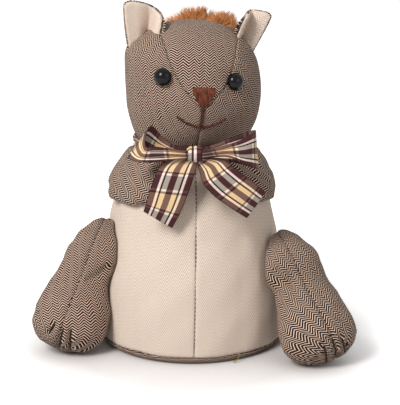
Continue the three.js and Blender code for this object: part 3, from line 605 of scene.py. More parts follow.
def ring_point(x, angle):
    """(y, z) of the unit ball at x, at an angle from the nose over the crown."""
    reach = np.maximum(1 - np.abs(x) ** FULLNESS, 0) ** (1 / FULLNESS)
    reach = reach / (np.abs(np.cos(angle)) ** FULLNESS + np.abs(np.sin(angle)) ** FULLNESS) ** (1 / FULLNESS)
    return -np.cos(angle) * reach, np.sin(angle) * reach


def across_head(width, angle):
    """The unit ball's x that is this far from the head's middle plane, in metres."""
    x = width / HEAD_HALF[0]
    for _ in range(3):
        z = ring_point(x, angle)[1]
        x = width / HEAD_HALF[0] / np.where(z < 0, 1 + JAW_FULLNESS * z**4, 1)
    return x


gusset_line = through(GUSSET, np.linspace(0, 1, 200))


def gusset_half(angle):
    """Half-width of the gusset, which comes to a point where the two cheeks meet."""
    turn = (angle - GUSSET_SPAN[0]) / (GUSSET_SPAN[1] - GUSSET_SPAN[0])
    half = np.interp(turn, gusset_line[:, 0], gusset_line[:, 1])
    opened = smoothstep(angle, SEAMS_MEET[0], GUSSET_SPAN[0] + 0.02)
    return half * opened * (1 - smoothstep(angle, GUSSET_SPAN[1], SEAMS_MEET[1]))


def gusset_surface(u, v):
    angle = SEAMS_MEET[0] + (SEAMS_MEET[1] - SEAMS_MEET[0]) * v
    x = across_head((2 * u - 1) * gusset_half(angle), angle)
    return on_head(x, *ring_point(x, angle))


def gusset_flat(u, v, along_u, along_v):
    angle = SEAMS_MEET[0] + (SEAMS_MEET[1] - SEAMS_MEET[0]) * v
    middle = along_v.reshape(-1, GUSSET_COLUMNS + 1)[:, GUSSET_COLUMNS // 2]
    return (2 * u - 1) * gusset_half(angle), np.repeat(middle, GUSSET_COLUMNS + 1)


above_neck = ((0, 0, NECK_CUT), (0, 0, 1))
gusset = lay_cloth(
    "head_gusset_cloth", gusset_surface, gusset_flat, GUSSET_COLUMNS, 190, ("left", "right"), cut=above_neck
)
finish(gusset, tweed, "tweed", "head_gusset")


def head_side_panel(side, degrees):
    """A cheek, laid in rings from the middle of the cheek out to the gusset and the chin seam."""

    def spread(u, v):
        angle = math.radians(-112) + 2 * math.pi * v
        edge = across_head(gusset_half(angle), angle)
        share = u if side < 0 else 1 - u
        return side * np.cos(share * np.arccos(edge)), angle

    def surface(u, v):
        x, angle = spread(u, v)
        return on_head(x, *ring_point(x, angle))

    def flat(u, v, along_u, along_v):
        angle = spread(u, v)[1]
        run = along_u.reshape(-1, CHEEK_COLUMNS + 1)
        run = run if side < 0 else run[:, -1:] - run
        run = run.ravel()
        return turned(side * run * np.cos(angle), run * np.sin(angle), degrees)

    edge = ("right",) if side < 0 else ("left",)
    name = "left" if side < 0 else "right"
    cheek = "head_cheek_" + name
    made = lay_cloth(cheek, surface, flat, CHEEK_COLUMNS, 230, edge, cut=above_neck, seed=5 + side)
    finish(made, tweed, "tweed", "head_side_" + name)


head_side_panel(-1, 10)
head_side_panel(1, 28)


def on_face(x, z):
    """The point of the head's skin straight behind (x, z) of the face, both in metres from its middle."""
    up = z / np.where(z < 0, JAW, CROWN)
    jaw = np.where(up < 0, 1 + JAW_FULLNESS * up**4, 1)
    across = x / jaw / HEAD_HALF[0]
    rest = np.maximum(1 - np.abs(across) ** FULLNESS - np.abs(up) ** FULLNESS, 0)
    return on_head(across, -(rest ** (1 / FULLNESS)), up)


def face_out(x, z):
    """Direction straight out of the face there."""
    step = 0.001
    rise = on_face(x, z + step) - on_face(x, z - step)
    right = on_face(x + step, z) - on_face(x - step, z)
    out = np.cross(right, rise)
    return out / np.linalg.norm(out, axis=-1, keepdims=True)


# Eyes: black domed safety eyes
# Each is a polished plastic dome with a flat foot and a stem, pushed through the cloth and held by a
# washer inside the head.

EYE_RADIUS = 0.00675
EYE_DOME = 0.006
STEM_RADIUS = 0.002
STEM_END = -0.0085
FOOT_OUT = 0.0018

eye_plastic, tree, shader = new_material("black_eye_plastic")
dust = noise(tree, 700.0, 3.0)
give(shader, {
    "Base Color": blend(tree, dust, rgb(2, 2, 3), rgb(8, 7, 9)),
    "Roughness": between(tree, dust, 0.05, 0.14),
    "Specular IOR Level": 0.2,
})

for name, (x, z) in EYES.items():
    spot = on_face(np.array(x), np.array(z))
    out = Vector(face_out(np.array(x), np.array(z)))
    bpy.ops.object.select_all(action="DESELECT")
    bpy.ops.mesh.primitive_uv_sphere_add(segments=48, ring_count=32, radius=EYE_RADIUS)
    eye = bpy.context.object
    eye.name = "eye_dome_" + name
    for vertex in eye.data.vertices:
        x, y, z = vertex.co
        vertex.co.z = z / EYE_RADIUS * EYE_DOME if z > 0 else 0.0
        if z < 0 and math.hypot(x, y) < STEM_RADIUS * 0.8:
            vertex.co.z = STEM_END
    turn = out.to_track_quat("Z", "Y").to_matrix().to_4x4()
    eye.data.transform(Matrix.Translation(Vector(spot) + out * FOOT_OUT) @ turn)
    edit(eye, (bpy.ops.mesh.normals_make_consistent, {"inside": False}))
    bpy.ops.object.shade_smooth()
    finish(eye, eye_plastic, "eye_plastic", "eye_" + name)


# Nose and mouth: brown embroidery
# The nose is satin stitch, upright threads side by side, highest in the middle. The mouth is one line of
# backstitch down from the nose and one across in a smile.

NOSE_HALF = 0.0086
NOSE_TOP, NOSE_TIP = 0.0058, -0.0085
LIP = -0.0245
SMILE_HALF, SMILE_RISE = 0.0185, 0.007


def nose_bottom(x):
    share = np.abs(x) / NOSE_HALF
    return NOSE_TIP + (NOSE_TOP - NOSE_TIP) * 0.73 * share**1.9


nose_lines = []
for layer, count, raised in ((0, 13, 0.0007), (1, 15, 0.0013)):
    for k in range(count):
        x = NOSE_HALF * (2 * (k + 0.5) / count - 1) * (1 if layer else 0.93)
        high = NOSE_TOP - 0.0012 * (abs(x) / NOSE_HALF) ** 4
        z = np.linspace(high, float(nose_bottom(x)), 12)
        arch = np.sin(math.pi * np.linspace(0.04, 0.96, 12)) ** 0.35
        crown = 0.55 + 0.45 * (1 - (x / NOSE_HALF) ** 2)
        x = np.full(12, x) * np.linspace(1.0, 0.92, 12)
        nose_lines.append(on_face(x, z) + face_out(x, z) * (raised * crown * arch)[:, None])
brown_thread = thread_material("brown_satin_thread", rgb(142, 70, 36), rgb(54, 23, 13), shine=0.5)
nose = threads("nose_satin_stitch", nose_lines, 0.00072, ends=0.8)
finish(nose, brown_thread, "stitching", "nose_stitching")


def backstitch(x, z, count):
    share = np.linspace(0, 1, count + 1)
    lines = []
    for a, b in zip(share[:-1], share[1:]):
        at = np.linspace(a, b + 0.08 / count, 7)
        px, pz = np.interp(at, np.linspace(0, 1, len(x)), x), np.interp(at, np.linspace(0, 1, len(x)), z)
        rise = 0.0001 + 0.0005 * np.sin(math.pi * np.linspace(0, 1, 7))
        lines.append(on_face(px, pz) + face_out(px, pz) * rise[:, None])
    return lines


smile = np.linspace(-1, 1, 61)
curve = LIP + SMILE_RISE * np.abs(smile) ** 1.7
mouth_lines = backstitch(smile * SMILE_HALF, curve, 12)
mouth_lines += backstitch(np.zeros(2), np.array((NOSE_TIP, LIP)), 4)
mouth = threads("mouth_backstitch", mouth_lines, 0.00095, ends=0.75)
mouth_thread = thread_material("dark_mouth_thread", rgb(98, 42, 26), rgb(46, 18, 12))
finish(mouth, mouth_thread, "stitching", "mouth_stitching")
cheek_x, cheek_z = np.array((-0.0425, -0.0418)), np.array((-0.0062, -0.0075))
finish(threads("cheek_fleck", [on_face(cheek_x, cheek_z)], 0.0005), seam_thread, "stitching")


# Ears: cream linen lining on a tweed back
# Each ear is cupped, with its inner edge folded forwards, and its root is caught in the gusset seam. The
# tweed back stands a little past the lining, so it shows as a dark edge.

EAR_CLOTH = 0.0018
EAR_FOLD = 0.013
EAR_CUP = 0.008


def ear_surface(side, roots, leans, height, inner_share, back=False):
    """u runs from the inner root to the outer root and v from the root up. The back is wider inwards."""
    inner, outer = (np.array((side * x, 0, z)) for x, z in roots)

    def surface(u, v):
        wider = (0.025 + 0.085 * np.sin(math.pi * v) ** 0.7) if back else 0.0
        u = u * (1 + wider) - wider
        across = 0.5 + (u - 0.5) * (1 - 0.1 * v**3)
        rise = height * (inner_share + (1 - inner_share) * across) + height * 0.2 * across * (1 - across)
        corner = 1 - (0.1 - 0.03 * u) * np.minimum(np.abs(2 * u - 1), 1) ** 6
        slant = np.radians(leans[0] + (leans[1] - leans[0]) * across) * side
        reach = v * (1.02 if back else 1) * corner * (rise + 0.003)
        fold = EAR_FOLD * (1 - smoothstep(u, 0.11, 0.24)) * (1 - 0.3 * v) + 0.002 * (2 * u - 1) ** 4
        fold = fold - EAR_CUP * np.exp(-(((u - 0.38) / 0.2) ** 2)) * (1 - 0.6 * v)
        root = inner + (outer - inner) * across[:, None]
        place = root + np.stack((np.sin(slant) * reach, -fold - 0.001, np.cos(slant) * reach), axis=1)
        return place @ HEAD_TURN.T + HEAD_MIDDLE

    return surface


def ear_flat(u, v, along_u, along_v):
    return along_u, along_v


for name, side, shape in (
    ("left", -1, (((0.031, 0.0355), (0.0505, 0.0165)), (-14, 13), 0.0415, 0.3)),
    ("right", 1, (((0.0275, 0.0375), (0.0425, 0.021)), (19, 26), 0.035, 0.46)),
):
    lining_shape = ear_surface(side, *shape)
    back_shape = ear_surface(side, *shape, back=True)
    toward_x = side < 0
    lining = lay_cloth(
        "ear_lining_cloth_" + name,
        (lambda u, v, s=lining_shape, f=toward_x: s(1 - u if f else u, v)),
        ear_flat, 36, 40, ("left", "right", "top"), EAR_CLOTH, lift=0.00195, ripple=0.0003, seed=11,
    )
    finish(lining, linen, "linen", "ear_lining_" + name)
    ear_back = lay_cloth(
        "ear_back_cloth_" + name,
        (lambda u, v, s=back_shape, f=toward_x: s(u if f else 1 - u, v)),
        ear_flat, 36, 40, ("left", "right", "top"), EAR_CLOTH, lift=0.00195, ripple=0.0003, seed=11,
    )
    finish(ear_back, tweed, "tweed", "ear_back_" + name)


# Arms: padded tweed, wrapped round the shoulders
# Each arm is sewn in at the back of the shoulder and bent round the chest to end under the ribbon. It
# is a stuffed tube, so its lower edge is thick and round.


def sewn_pad(name, node, slack, cap, levels=2, voxel=0.004):
    """The pad's cover, a little slack at first, blown up by its filling as simulated cloth."""
    pad = bpy.data.objects.new(name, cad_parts[node].data.copy())
    scene.collection.objects.link(pad)
    edit(pad, (bpy.ops.mesh.remove_doubles, {"threshold": 1e-5}))
    modify(pad, "REMESH", mode="VOXEL", voxel_size=voxel)
    modify(pad, "SMOOTH", factor=0.4, iterations=3)
    slack_places, normals = points_of(pad)
    slack_places = slack_places - normals * slack
    set_points(pad, slack_places)
    cloth = pad.modifiers.new("cloth", "CLOTH")
    cloth.settings.use_pressure = True
    cloth.settings.uniform_pressure_force = 4
    cloth.settings.effector_weights.gravity = 0
    cloth.settings.quality = 5
    for step in range(1, 21):
        scene.frame_set(step)
    bpy.context.view_layer.objects.active = pad
    bpy.ops.object.modifier_apply(modifier=cloth.name)
    scene.frame_set(1)
    moved = points_of(pad)[0] - slack_places
    moved -= normals * np.minimum((moved * normals).sum(axis=1, keepdims=True), 0)
    size = np.linalg.norm(moved, axis=1, keepdims=True)
    set_points(pad, slack_places + moved * np.minimum(1, cap / np.maximum(size, 1e-9)))
    modify(pad, "SUBSURF", levels=levels, render_levels=levels)
    return pad


def points_of(piece):
    mesh = piece.data
    places, normals = np.empty(len(mesh.vertices) * 3), np.empty(len(mesh.vertices) * 3)
    mesh.vertices.foreach_get("co", places)
    mesh.vertex_normals.foreach_get("vector", normals)
    return places.reshape(-1, 3), normals.reshape(-1, 3)


def set_points(piece, places):
    piece.data.vertices.foreach_set("co", places.ravel())
    piece.data.update()


def weave_on(piece, flat):
    """Writes the cloth places that flat gives for the face corners, with the middles of their faces."""
    mesh = piece.data
    corner, per_face = np.empty(len(mesh.loops), np.int32), np.empty(len(mesh.polygons), np.int32)
    middle = np.empty(len(mesh.polygons) * 3)
    mesh.loops.foreach_get("vertex_index", corner)
    mesh.polygons.foreach_get("loop_total", per_face)
    mesh.polygons.foreach_get("center", middle)
    middles = np.repeat(middle.reshape(-1, 3), per_face, axis=0)
    layer = mesh.uv_layers.get("Weave") or mesh.uv_layers.new(name="Weave")
    layer.data.foreach_set("uv", np.stack(flat(points_of(piece)[0][corner], middles), axis=1).ravel())


ARM_MIDDLE_LEVEL = 0.138
FOLD_DEPTH = 0.0009
CORNER_UP, SHOULDER_IN, INNER_END_UP = 0.006, 0.0035, 0.0035

for name, side, degrees in (("left", -1, 62), ("right", 1, -52)):
    arm = sewn_pad("arm_pad_" + name, "arm_" + name, slack=-0.0004, cap=0.0026)
    places, normals = points_of(arm)
    angle = np.arctan2(side * places[:, 0], -places[:, 1])
    folds = FOLD_DEPTH * np.sin(angle * 9 + places[:, 2] * 160 + side) * smoothstep(angle, 1.0, 0.2)
    outward = np.clip(normals[:, 0] * places[:, 0] + normals[:, 1] * places[:, 1], 0, None) / 0.07
    raised = (folds + 0.0007 * waver(places, 0.02, 20 + side)) * np.minimum(outward, 1)
    places = places + normals * raised[:, None]
    # The outer lower corner is rounded, the left shoulder slopes and the inner end lies under the ribbon.
    below = ARM_MIDDLE_LEVEL - places[:, 2]
    to_corner, to_shoulder = side * places[:, 0], -places[:, 0]
    places[:, 2] += CORNER_UP * smoothstep(below, -0.004, 0.02) * smoothstep(to_corner, 0.064, 0.084)
    places[:, 0] += SHOULDER_IN * smoothstep(-below, -0.006, 0.014) * smoothstep(to_shoulder, 0.045, 0.065)
    places[:, 2] += INNER_END_UP * smoothstep(-angle, -0.36, -0.22)
    set_points(arm, places)

    def arm_flat(points, middles):
        turn = np.arctan2(side * points[:, 0], -points[:, 1])
        return turned(turn * 0.06, (points[:, 2] - ARM_MIDDLE_LEVEL) * 0.95, degrees)

    weave_on(arm, arm_flat)
    bpy.ops.object.shade_smooth()
    finish(arm, tweed, "tweed", "arm_" + name)


# Legs: padded tweed, lying forward at both sides
# Each leg is two panels with a seam down its front and back, taken in at the ankle. Three stitched lines
# mark the toes.

LEG_LENGTH = 0.114
HIP_PULL = 0.014
FOOT_WIDER, FOOT_SHIFT = 0.06, 0.001
WAIST_IN, WAIST_TALL = 0.0035, 0.014
SEAM_DEPTH, TOE_DEPTH, CREASE_DEPTH = 0.0011, 0.002, 0.0022
# Cloth to a radian round the leg
LEG_ROUND = 0.0215
LEGS = {
    "left": {
        "side": -1,
        "middle": (-0.0855, -0.0295, 0.0515),
        "hip": (-0.070, -0.002),
        "sole": (-0.101, -0.057),
        "seam": (0.0005, -0.08),
        "toes": [
            [(0.0095, -0.0405), (0.012, -0.0475)],
            [(0.002, -0.042), (0.0025, -0.055)],
            [(-0.004, -0.041), (-0.006, -0.0545)],
        ],
        "crease": [(-0.0165, 0.0115), (-0.014, 0.007), (-0.006, -0.0005)],
        "hip_spread": (0.26, -0.0055, 0.004),
        "turns": (22, 26),
    },
    "right": {
        "side": 1,
        "middle": (0.0865, -0.048, 0.047),
        "hip": (0.070, -0.011),
        "sole": (0.103, -0.085),
        "seam": (0.0005, -0.14),
        "toes": [
            [(-0.001, -0.049), (0.0, -0.0565)],
            [(0.0065, -0.0455), (0.0085, -0.0565)],
            [(0.014, -0.048), (0.016, -0.0535)],
        ],
        "crease": [(-0.018, 0.0155), (-0.016, 0.0085), (-0.011, 0.004)],
        "hip_spread": (0.24, -0.003, 0.0075),
        "turns": (-24, -20),
    },
}


def beside(x, z, line):
    """Distance of each point (x, z) from a line of points."""
    nearest = np.full(len(x), 1.0)
    for (ax, az), (bx, bz) in zip(line[:-1], line[1:]):
        dx, dz = bx - ax, bz - az
        t = np.clip(((x - ax) * dx + (z - az) * dz) / (dx * dx + dz * dz), 0, 1)
        nearest = np.minimum(nearest, np.hypot(x - ax - t * dx, z - az - t * dz))
    return nearest


def laid_on(pad, ends, middle, own_frame, count):
    """A straight line between two (x, z) of the leg's own frame, laid on the front of the pad."""
    skin = BVHTree.FromObject(pad, bpy.context.evaluated_depsgraph_get())
    outward, backward, axis = own_frame
    line = []
    for share in np.linspace(0, 1, count):
        x, z = ends[0] + (ends[1] - ends[0]) * share
        start = middle + outward * x + axis * z - backward * 0.08
        met = skin.ray_cast(Vector(start), Vector(backward))[0]
        if met:
            line.append(met)
    return np.array(line)


toe_thread = thread_material("black_toe_thread", rgb(48, 34, 28), rgb(20, 13, 11))

for name, spec in LEGS.items():
    side = spec["side"]
    middle = np.array(spec["middle"])
    lean = Vector((spec["hip"][0] - spec["sole"][0], spec["hip"][1] - spec["sole"][1], 0))
    lean.z = math.sqrt(LEG_LENGTH**2 - lean.length_squared)
    axis = lean.normalized()
    outward = Vector((side, 0, 0))
    outward = (outward - axis * outward.dot(axis)).normalized()
    backward = axis.cross(outward) * side
    own_frame = np.array((outward, backward, axis))
    offset, slope = spec["seam"]

    leg = sewn_pad("leg_pad_" + name, "leg_" + name, slack=-0.0006, cap=0.0026)
    # The hip is pulled forward against the front of the bell, and the foot spreads a little.
    local = (points_of(leg)[0] - middle) @ own_frame.T
    hip, foot = smoothstep(local[:, 2], -0.012, 0.036), smoothstep(-local[:, 2], 0.0, 0.04)
    wider, shift, rise = spec["hip_spread"]
    local[:, 0] *= 1 + wider * hip + FOOT_WIDER * foot
    local[:, 0] += FOOT_SHIFT * foot + shift * hip
    waist = np.exp(-((local[:, 2] / WAIST_TALL) ** 2))
    local[:, 0] += WAIST_IN * waist * smoothstep(-local[:, 0], 0, 0.012)
    places = middle + local @ own_frame + hip[:, None] * np.array((0, -HIP_PULL, rise))
    bell_reach = np.interp(places[:, 2], BELL[:, 1], BELL[:, 0]) + 0.0012
    places[:, :2] *= np.maximum(1, bell_reach / np.hypot(places[:, 0], places[:, 1]))[:, None]
    places[:, 2] = np.maximum(places[:, 2], 0.0004)
    set_points(leg, places)
    across_seam = outward - axis * slope
    seam_start = Vector(middle) + outward * offset
    edit(leg, (bpy.ops.mesh.bisect, {"plane_co": seam_start, "plane_no": across_seam}))

    places, normals = points_of(leg)
    local = (places - middle) @ own_frame.T
    x, y, z = local.T
    from_seam = x - offset - slope * z
    front = smoothstep(-y, -0.004, 0.004)
    depth = SEAM_DEPTH * np.exp(-((from_seam / 0.0016) ** 2))
    for toe in spec["toes"]:
        depth += TOE_DEPTH * np.exp(-((beside(x, z, toe) / 0.0022) ** 2)) * front
    depth += CREASE_DEPTH * np.exp(-((beside(x, z, spec["crease"]) / 0.003) ** 2)) * front
    depth += 0.0005 * waver(places, 0.018, 30 + side)
    set_points(leg, places - normals * depth[:, None])
    toe_lines = [laid_on(leg, np.array(toe), middle, own_frame, 10) for toe in spec["toes"]]
    toes = threads("toe_stitches_" + name, [line - 0.0002 * own_frame[1] for line in toe_lines], 0.0008)
    finish(toes, toe_thread, "stitching")
    seam_z = np.array((-0.05, 0.052))
    seam_x = offset + slope * seam_z
    seam_line = laid_on(leg, np.stack((seam_x, seam_z), axis=1), middle, own_frame, 90)
    into = np.tile(own_frame[1], (len(seam_line), 1))
    seam_lines = stitches(seam_line, into, 0.0045, 0.0006, 0.0003)
    finish(threads("leg_seam_stitches_" + name, seam_lines, 0.0003), seam_thread, "stitching")

    core = np.polyfit(z, y, 3)

    def leg_flat(points, middles):
        x, y, z = ((points - middle) @ own_frame.T).T
        face_x, _, face_z = ((middles - middle) @ own_frame.T).T
        outer = face_x - offset - slope * face_z > 0
        x = x - offset - slope * z
        turn = np.abs(np.arctan2(x, np.polyval(core, z) - y))
        run = np.where(outer, turn, -turn) * LEG_ROUND
        inner_turn, outer_turn = spec["turns"]
        a_in, b_in = turned(run, z, inner_turn)
        a_out, b_out = turned(run, z, outer_turn)
        return np.where(outer, a_out, a_in), np.where(outer, b_out, b_in)

    weave_on(leg, leg_flat)
    bpy.ops.object.shade_smooth()
    finish(leg, tweed, "tweed", "leg_" + name)


# Tail: ginger long pile over a flat filling
# The pile stands out of its backing in locks, darker at the root and pale at the tips. A lock is a thin
# bent cone. They are spread over the backing and lean up and out.

PILE_LENGTH = 0.0125
SHORTEST_LOCK, LONGEST_LOCK = 0.006, 0.018
LOCK_RADIUS = 0.0004
# Share of a lock's length where it is thickest
THICKEST_AT = 0.55
LOCKS_IN_A_PIECE = 19000
# How much a lock leans up, goes with its clump and strays
LEAN_UP, WITH_CLUMP, STRAY = 0.4, 0.45, 0.14

backing = sewn_pad("tail_backing", "tail", slack=0.0105, cap=0.002, levels=1, voxel=0.006)
# The arch of its top is flattened to broad shoulders, a little higher at the right.
FLATTENED_FROM, TOP_LOWERED = 0.212, 0.0045
TOP_TILT, TOP_BROADER = 0.13, 0.24
places = points_of(backing)[0]
arch = places[:, 2].max() - FLATTENED_FROM
up = np.clip((places[:, 2] - FLATTENED_FROM) / arch, 0, 1)
flattened = FLATTENED_FROM + (arch - TOP_LOWERED) * np.sin(up * math.pi / 2)
places[:, 2] = np.where(up > 0, flattened + TOP_TILT * (places[:, 0] - 0.011) * up, places[:, 2])
places[:, 0] += TOP_BROADER * (places[:, 0] - 0.009) * smoothstep(up, 0, 0.3)
set_points(backing, places)



def ramp(tree, value, stops, interpolation="LINEAR"):
    """Colours along a value. Each stop is (where it lies or starts, colour)."""
    made = add(tree, "ValToRGB", {"Fac": value})
    made.color_ramp.interpolation = interpolation
    for k, (at, colour) in enumerate(stops):
        stop = made.color_ramp.elements[k] if k < 2 else made.color_ramp.elements.new(at)
        stop.position, stop.color = at, colour
    return made.outputs["Color"]


PILE_COLOURS = [(0.0, rgb(126, 64, 24)), (0.45, rgb(190, 114, 58)), (1.0, rgb(230, 172, 116))]
ginger, tree, shader = new_material("ginger_pile")
strand = add(tree, "Attribute", attribute_name="strand")
parts = add(tree, "SeparateColor", {0: strand.outputs["Color"]}).outputs
redder = calc(tree, "MULTIPLY", parts["Green"], 0.4)
give(shader, {
    "Base Color": blend(tree, redder, ramp(tree, parts["Red"], PILE_COLOURS), rgb(178, 98, 46)),
    "Roughness": 0.65,
    "Specular IOR Level": 0.2,
})

# The backing's dark mottle is partly its own colour and partly painted shade, so the gaps between the locks
# look deep.
knit, tree, shader = new_material("ginger_backing_painted_depth_shade")
mottle = noise(tree, 600.0, 4.0)
give(shader, {
    "Base Color": blend(tree, mottle, rgb(120, 62, 26), rgb(188, 112, 56)),
    "Normal": bumped(tree, mottle, 1.0, 0.0012),
    "Roughness": 0.9,
})
for face in backing.data.polygons:
    face.use_smooth = True
finish(backing, knit, "fur", "tail")

bpy.ops.object.select_all(action="DESELECT")
bpy.ops.mesh.primitive_cone_add(vertices=3, radius1=LOCK_RADIUS, radius2=0.0, depth=1.0, location=(0, 0, 0.5))
lock = bpy.context.object
bpy.ops.object.transform_apply(location=True, rotation=False, scale=False)
edit(lock, (bpy.ops.mesh.bisect, {"plane_co": (0, 0, THICKEST_AT), "plane_no": (0, 0, 1)}))
lock_points = points_of(lock)[0]
lock_faces = [tuple(face.vertices) for face in lock.data.polygons]
fatness = np.interp(lock_points[:, 2], (0, THICKEST_AT, 1), (0.9, 1.6, 1))
lock_points[:, :2] *= fatness[:, None]
bpy.data.objects.remove(lock)

backing.data.calc_loop_triangles()
triangles = np.array([t.vertices for t in backing.data.loop_triangles])
places, normals = points_of(backing)
areas = np.array([t.area for t in backing.data.loop_triangles])
chance = np.random.default_rng(7)


def pile(name, low, high):
    """Locks of pile on the backing between two heights."""
    middles = places[triangles].mean(axis=1)
    share = areas * (middles[:, 2] >= low) * (middles[:, 2] < high)
    picked = chance.choice(len(areas), LOCKS_IN_A_PIECE, p=share / share.sum())
    weights = chance.dirichlet((1, 1, 1), LOCKS_IN_A_PIECE)
    root = (places[triangles[picked]] * weights[..., None]).sum(axis=1)
    out = (normals[triangles[picked]] * weights[..., None]).sum(axis=1)
    clump = np.stack([waver(root, 0.011, 40 + k) for k in range(3)], axis=1)
    lean = out + np.array((0, 0, LEAN_UP)) + WITH_CLUMP * clump + STRAY * chance.normal(size=root.shape)
    lean /= np.linalg.norm(lean, axis=1, keepdims=True)
    side = np.cross(lean, chance.normal(size=root.shape))
    side /= np.linalg.norm(side, axis=1, keepdims=True)
    third = np.cross(lean, side)
    length = PILE_LENGTH * (0.85 + 0.25 * waver(root, 0.02, 44) + 0.12 * chance.normal(size=len(root)))
    length = np.clip(length, SHORTEST_LOCK, LONGEST_LOCK)
    droop = 0.3 * length[:, None] * (clump - lean * (clump * lean).sum(axis=1, keepdims=True))
    along = lock_points[:, 2]
    built = root[:, None] - out[:, None] * 0.0008
    built = built + lean[:, None] * (along[None, :, None] * length[:, None, None])
    built = built + side[:, None] * lock_points[None, :, :1] + third[:, None] * lock_points[None, :, 1:2]
    built = built + droop[:, None] * (along**2)[None, :, None]
    count = len(lock_points)
    faces = [tuple(i + k * count for i in face) for k in range(len(root)) for face in lock_faces]
    mesh = bpy.data.meshes.new(name)
    mesh.from_pydata(built.reshape(-1, 3), [], faces)
    colour = np.zeros((len(root), count, 4))
    colour[..., 0] = along
    redness = 0.5 + 0.5 * waver(root, 0.012, 47) + 0.2 * chance.normal(size=len(root))
    colour[..., 1] = np.clip(redness, 0, 1)[:, None]
    colour[..., 3] = 1
    mesh.color_attributes.new("strand", "FLOAT_COLOR", "POINT").data.foreach_set("color", colour.ravel())
    mesh.polygons.foreach_set("use_smooth", [True] * len(mesh.polygons))
    piece = bpy.data.objects.new(name, mesh)
    scene.collection.objects.link(piece)
    finish(piece, ginger, "fur")


pile("tail_pile_low", 0.0, 0.09)
pile("tail_pile_middle", 0.09, 0.18)
pile("tail_pile_top", 0.18, 1.0)


# Ribbon: plaid, tied in a bow
# One length of thin ribbon goes round the neck, gathered, and is tied in front. Its plaid is woven of
# burgundy and cream yarn, so it shows burgundy, mauve and cream where the stripes cross.

RIBBON = 0.028
RIBBON_CLOTH = 0.0006
RIBBON_COLUMNS = 24
NECK_RADIUS, NECK_LEVEL, GATHERED_WIDTH = 0.0455, 0.1613, 0.0048

plaid, tree, shader = new_material("plaid_ribbon")
cloth = add(tree, "SeparateXYZ", {0: add(tree, "UVMap", uv_map="Weave").outputs[0]}).outputs
across = calc(tree, "DIVIDE", cloth["X"], RIBBON)
half = calc(tree, "MULTIPLY", calc(tree, "ABSOLUTE", calc(tree, "SUBTRACT", across, 0.5)), 2.0)
# The warp's stripes from the middle of the ribbon to its selvedge, as each colour of weft crosses them:
# middle, broad, narrow dark, narrow pale, outer and selvedge
WARP_STRIPES = (0.0, 0.17, 0.43, 0.53, 0.67, 0.96)
CROSSINGS = {
    "burgundy": [(58, 18, 22), (166, 156, 144), (38, 14, 16), (226, 204, 194), (58, 18, 22), (26, 8, 10)],
    "yellow": [(120, 90, 76), (238, 204, 156), (84, 52, 34), (244, 218, 188), (108, 76, 66), (64, 34, 28)],
    "pale": [(104, 64, 62), (238, 220, 200), (66, 36, 30), (246, 232, 220), (94, 50, 50), (56, 26, 26)],
    "black": [(42, 14, 16), (150, 126, 104), (34, 16, 14), (200, 174, 150), (40, 12, 16), (20, 6, 8)],
}
# Where each weft starts along the ribbon, in shares of one repeat
REPEAT = 0.03
RIB = 0.00042
WEFTS = [(0.0, "black"), (0.04, "pale"), (0.1, "burgundy"), (0.46, "pale"), (0.52, "black"), (0.58, "yellow")]
repeat = calc(tree, "FRACT", calc(tree, "DIVIDE", cloth["Y"], REPEAT))
woven = None
for weft, colours in CROSSINGS.items():
    bands = [(at, rgb(*colour)) for at, colour in zip(WARP_STRIPES, colours)]
    crossed = ramp(tree, half, bands, "CONSTANT")
    if woven is None:
        woven = crossed
        continue
    laid = [(at, (1, 1, 1, 1) if kind == weft else (0, 0, 0, 1)) for at, kind in WEFTS]
    woven = blend(tree, ramp(tree, repeat, laid, "CONSTANT"), woven, crossed)
warp = calc(tree, "SINE", calc(tree, "MULTIPLY", cloth["X"], 2 * math.pi / RIB))
weft = calc(tree, "SINE", calc(tree, "MULTIPLY", cloth["Y"], 2 * math.pi / RIB))
rib = calc(tree, "MULTIPLY", warp, weft)
rough = add(tree, "MapRange", {"Value": rib, "From Min": -1.0, "To Min": 0.55, "To Max": 0.72})
give(shader, {
    "Base Color": woven,
    "Normal": bumped(tree, rib, 0.35, 0.00008),
    "Roughness": rough.outputs[0],
    "Sheen Weight": 0.04,
    "Specular IOR Level": 0.25,
})


def ribbon_strip(name, stations, rows, start=0.0, gather=0.0, curl=0.0):
    """A stretch of ribbon. Each station is (one edge, other edge), in millimetres."""
    one = np.array([a for a, b in stations]) / 1000
    other = np.array([b for a, b in stations]) / 1000

    def surface(u, v):
        a, b = through(one, v), through(other, v)
        place = a + (b - a) * u[:, None]
        width = np.linalg.norm(b - a, axis=1)
        tight = np.clip(1 - width / RIBBON, 0, 1)
        pleat = gather * tight * np.sin(u * 2 * math.pi * 2.5) + curl * (1 - (2 * u - 1) ** 2)
        return place + np.array((0, -1, 0)) * pleat[:, None]

    def flat(u, v, along_u, along_v):
        middle = along_v.reshape(-1, RIBBON_COLUMNS + 1)[:, RIBBON_COLUMNS // 2]
        return u * RIBBON, start + middle.repeat(RIBBON_COLUMNS + 1)

    return lay_cloth(
        name, surface, flat, RIBBON_COLUMNS, rows, (), RIBBON_CLOTH, ripple=0.0003, centred=True, seed=60
    )


